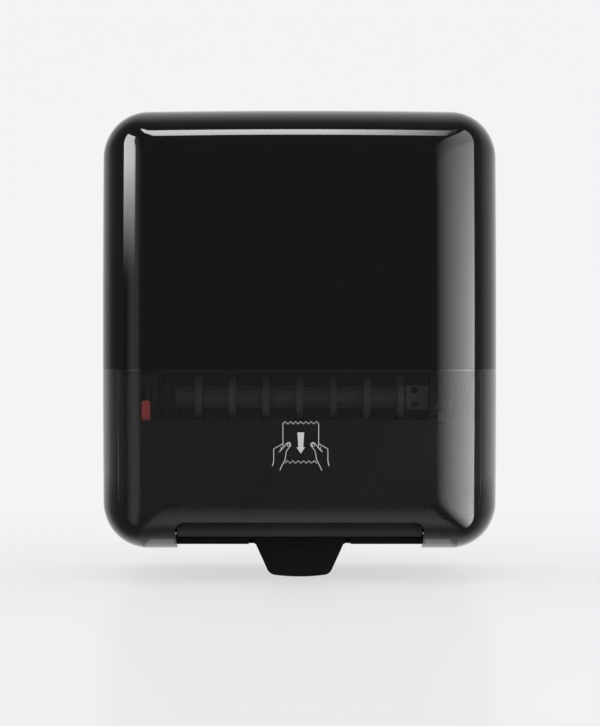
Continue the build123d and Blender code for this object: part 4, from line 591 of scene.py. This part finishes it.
for path in (edge, wrist, thumb, nail, crease):
    paths += [path, path * flip]
strokes = [ribbon(path, stroke) for path in paths]
arrow = np.array([[(0.0028, 0.0074), (-0.0028, 0.0074)], [(0.0020, -0.0048), (-0.0020, -0.0048)]])
point = np.array([[(0.0036, -0.0048), (-0.0036, -0.0048)], [(0.0001, -0.0099), (-0.0001, -0.0099)]])
strokes += [arrow, point]
spots, quads = [], []
for grid in strokes:
    first = sum(len(spot) for spot in spots)
    index = first + np.arange(len(grid) * 2).reshape(-1, 2)
    quads.append(np.stack([index[:-1, 0], index[:-1, 1], index[1:, 1], index[1:, 0]], axis=1))
    flat = grid.reshape(-1, 2)
    spots.append(np.stack([flat[:, 0] + ink_x, np.full(len(flat), ink_y), flat[:, 1] + ink_z], axis=1))
drawing = bpy.data.meshes.new("pictogram")
drawing.from_pydata(np.vstack(spots).tolist(), [], np.vstack(quads).tolist())
pale_ink = moulded("pale_ink", (0.6, 0.6, 0.6), 0.6, 900.0, 0.00001)
pictogram = placed(drawing, pale_ink)
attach(pictogram, "cover")

# Lock: a chromed bush and barrel in the top of the cover, with a steel hook on the barrel's foot that
# swings behind the keeper pin of the back plate.
bright_chrome = turned_steel("bright_chrome", (0.72, 0.72, 0.73), 0.12, (500.0, 500.0, 500.0))
dress(bright_chrome, "lock_bush", "lock_barrel")
dress(pressed_steel, "latch_hook")
dress(zinc_plate, "latch_screw")

# Studio: a pale floor lit from within that sweeps up to a pale backdrop, a dim room for what the gloss
# reflects, and tall light panels at the right, left and above, whose strength fades along them.
floor_z, floor_half, columns = -0.2125, 4.0, 41
sweep_start, sweep_depth, sweep_height, wall_height = 1.8, 1.2, 0.9, 1.4
sheen_start, sheen_end, sheen_most = 0.1, 0.7, 0.09
sweep = np.radians(90 * np.linspace(0, 1, 24))[1:]
flat = [-floor_half, -2.0, -1.0, 0.0, 0.4, 0.8, 1.2, sweep_start]
run = np.concatenate([flat, sweep_start + sweep_depth * np.sin(sweep), [sweep_start + sweep_depth]])
rise = np.concatenate([np.zeros(len(flat)), sweep_height * (1 - np.cos(sweep)), [wall_height]])
x, y = np.meshgrid(np.linspace(-floor_half, floor_half, columns), run)
ground = np.stack([x, y, np.repeat(floor_z + rise[:, None], columns, axis=1)], axis=-1)
backdrop = bpy.data.objects.new("backdrop", sheet_of("backdrop", ground))
bpy.context.scene.collection.objects.link(backdrop)
paper, tree, sheet = principled("pale_paper")
sheet.inputs["Roughness"].default_value = 0.9
sheet.inputs["Specular IOR Level"].default_value = 0.0
sheet.inputs["Base Color"].default_value = (0.29, 0.29, 0.29, 1.0)
sheet.inputs["Emission Color"].default_value = (0.97, 0.98, 1.0, 1.0)
sheet.inputs["Emission Strength"].default_value = 0.65
axes = tree.nodes.new("ShaderNodeSeparateXYZ")
tree.links.new(tree.nodes.new("ShaderNodeTexCoord").outputs["Object"], axes.inputs["Vector"])
sheen = tree.nodes.new("ShaderNodeBsdfGlossy")
sheen.inputs["Roughness"].default_value = 0.22
blend = tree.nodes.new("ShaderNodeMixShader")
share = ranged(tree, axes.outputs["Y"], sheen_start, sheen_end, sheen_most, 0.0)
tree.links.new(share, blend.inputs["Fac"])
tree.links.new(sheet.outputs["BSDF"], blend.inputs[1])
tree.links.new(sheen.outputs["BSDF"], blend.inputs[2])
tree.links.new(blend.outputs["Shader"], tree.nodes["Material Output"].inputs["Surface"])
backdrop.data.materials.append(paper)
backdrop.visible_glossy = False


def panel(name, points, glow):
    """A light panel on a grid of points, whose strength at each point is its glow. The camera and
    rough surfaces don't see it: it only shows as a reflection."""
    mesh = sheet_of(name, points)
    strength = mesh.attributes.new("glow", "FLOAT", "POINT")
    strength.data.foreach_set("value", glow.ravel().astype(np.float32))
    piece = bpy.data.objects.new(name, mesh)
    bpy.context.scene.collection.objects.link(piece)
    lamp = bpy.data.materials.new(name)
    lamp.use_nodes = True
    tree = lamp.node_tree
    tree.nodes.clear()
    out = tree.nodes.new("ShaderNodeOutputMaterial")
    light = tree.nodes.new("ShaderNodeEmission")
    read = tree.nodes.new("ShaderNodeAttribute")
    read.attribute_name = "glow"
    tree.links.new(read.outputs["Fac"], light.inputs["Strength"])
    tree.links.new(light.outputs["Emission"], out.inputs["Surface"])
    mesh.materials.append(lamp)
    piece.visible_camera = False
    piece.visible_diffuse = False
    piece.visible_shadow = False
    return piece


def upright_arc(side, reach, angle, height):
    """Points on an upright arc round the roll at one side of the cover, at a reach from it. The angle
    is taken from the camera's direction outward."""
    centre_x, centre_y = 0.14, -0.19
    turn, level = np.meshgrid(np.radians(angle), height, indexing="ij")
    x = side * (centre_x + reach * np.sin(turn))
    return np.stack([x, centre_y - reach * np.cos(turn), level], axis=-1), np.degrees(turn), level


# Right panel: its glow rises evenly round the arc from a first angle, and fades at both ends.
right_glow, right_start = 6.9056, 6.8
points, turn, level = upright_arc(1, 0.6, np.linspace(right_start, 90, 60), np.linspace(-1.1, 1.0, 106))
height = np.interp(level, [-0.13, 0.04, 0.1, 0.155, 0.2, 0.3], [1.13, 1.0, 0.89, 0.79, 0.66, 0.45])
first = np.interp(level, [-0.95, -0.7, -0.57, -0.39, -0.28, -0.13], [62, 42, 34, 22, 13, right_start])
low = np.interp(level, [-0.95, -0.8, -0.68, -0.57, -0.46, -0.35], [0.0, 0.2, 0.45, 0.65, 0.87, 1.0])
glow = right_glow * np.clip(turn - first, 0, None) / (90 - first)
panel("right_panel", points, glow * low * height ** (turn / 90))
# Left panel: a bright upper part that fades downward, over a weak one of the whole height.
bright_glow, bright_foot, bright_rise, bright_start = 10.3, 0.09, 0.17, 66
weak_glow, weak_start, weak_end, weak_foot = 0.5, 54, 86, -1.4
angle, height = np.linspace(weak_start, 93, 40), np.linspace(weak_foot, 1.0, 121)
points, turn, level = upright_arc(-1, 1.2, angle, height)
bright = bright_glow * np.clip((level - bright_foot) / bright_rise, 0, 1) ** 1.6
bright *= np.clip((turn - bright_start) / 3, 0, 1)
weak = weak_glow * np.clip((turn - weak_start) / 8, 0, 1) * np.clip((weak_end - turn) / 12, 0, 1)
weak *= np.clip((level - weak_foot) / 0.5, 0, 1)
panel("left_panel", points, bright + weak)
# Top panel: level above the part, fading to the right.
top_glow, top_z, top_fade = 11, 1.4, 0.27
run_x, run_y = np.meshgrid(np.linspace(-0.62, 0.6, 60), np.linspace(-0.58, -0.18, 6), indexing="ij")
points = np.stack([run_x, run_y, np.full_like(run_x, top_z)], axis=-1)
fade = np.clip(1.02 - (np.clip(run_x, 0, None) / top_fade) ** 1.7, 0.05, 1)
panel("top_panel", points, top_glow * fade)

# Room: a mirrored ray meets a level that rises from the front to the back, and any other an even one.
open_level, room_slant, patch_level = 0.93, 0.18, 0.6
room = bpy.data.worlds.new("room")
room.use_nodes = True
tree = room.node_tree
air = tree.nodes["Background"]
air.inputs["Color"].default_value = (1.0, 1.0, 1.0, 1.0)
way = tree.nodes.new("ShaderNodeTexCoord")
axes = tree.nodes.new("ShaderNodeSeparateXYZ")
tree.links.new(way.outputs["Generated"], axes.inputs["Vector"])
aside = reckon(tree, "MULTIPLY", axes.outputs["X"], room_slant)
behind = reckon(tree, "ADD", axes.outputs["Y"], aside)
dim = tree.nodes.new("ShaderNodeValToRGB")
tree.links.new(reckon(tree, "MULTIPLY", reckon(tree, "ADD", behind, 1.0), 0.5), dim.inputs["Fac"])
ramp = dim.color_ramp
levels = [(0.4, 0.03), (0.507, 0.046), (0.595, 0.056), (0.638, 0.075), (0.689, 0.11), (0.737, 0.18),
          (0.79, 0.356), (0.845, 0.5), (0.905, 0.6), (1.0, 0.9)]
while len(ramp.elements) < len(levels):
    ramp.elements.new(0.5)
for stop, (position, level) in zip(ramp.elements, levels):
    stop.position = position
    stop.color = (level, level, level, 1.0)
# A pale patch below and ahead of the part, as a floor in front of it would show in the foot's roll.
below = ranged(tree, axes.outputs["Z"], -0.3, -0.95, 0.0, patch_level)
ahead = ranged(tree, axes.outputs["Y"], 0.1, -0.35, 0.1, 1.0)
centre = ranged(tree, reckon(tree, "ABSOLUTE", axes.outputs["X"], 0.0), 0.45, 0.08)
foot = reckon(tree, "MULTIPLY", reckon(tree, "MULTIPLY", below, ahead), centre)
ray = tree.nodes.new("ShaderNodeLightPath")
choice = tree.nodes.new("ShaderNodeMix")
choice.inputs["A"].default_value = open_level
tree.links.new(ray.outputs["Is Glossy Ray"], choice.inputs["Factor"])
tree.links.new(reckon(tree, "ADD", dim.outputs["Color"], foot), choice.inputs["B"])
tree.links.new(choice.outputs["Result"], air.inputs["Strength"])
bpy.context.scene.world = room
bpy.context.scene.view_settings.view_transform = "Standard"

# Camera: straight in front and two metres away, level with a point 158 mm above the cover's foot, with
# a long lens.
lens = bpy.data.cameras.new("camera")
lens.sensor_fit = "VERTICAL"
lens.sensor_height = 36.0
lens.lens = 109.83
camera = bpy.data.objects.new("camera", lens)
camera.location = (0.00035, -2.033, -0.0288)
camera.rotation_euler = (np.radians(90), 0, 0)
bpy.context.scene.collection.objects.link(camera)
bpy.context.scene.camera = camera
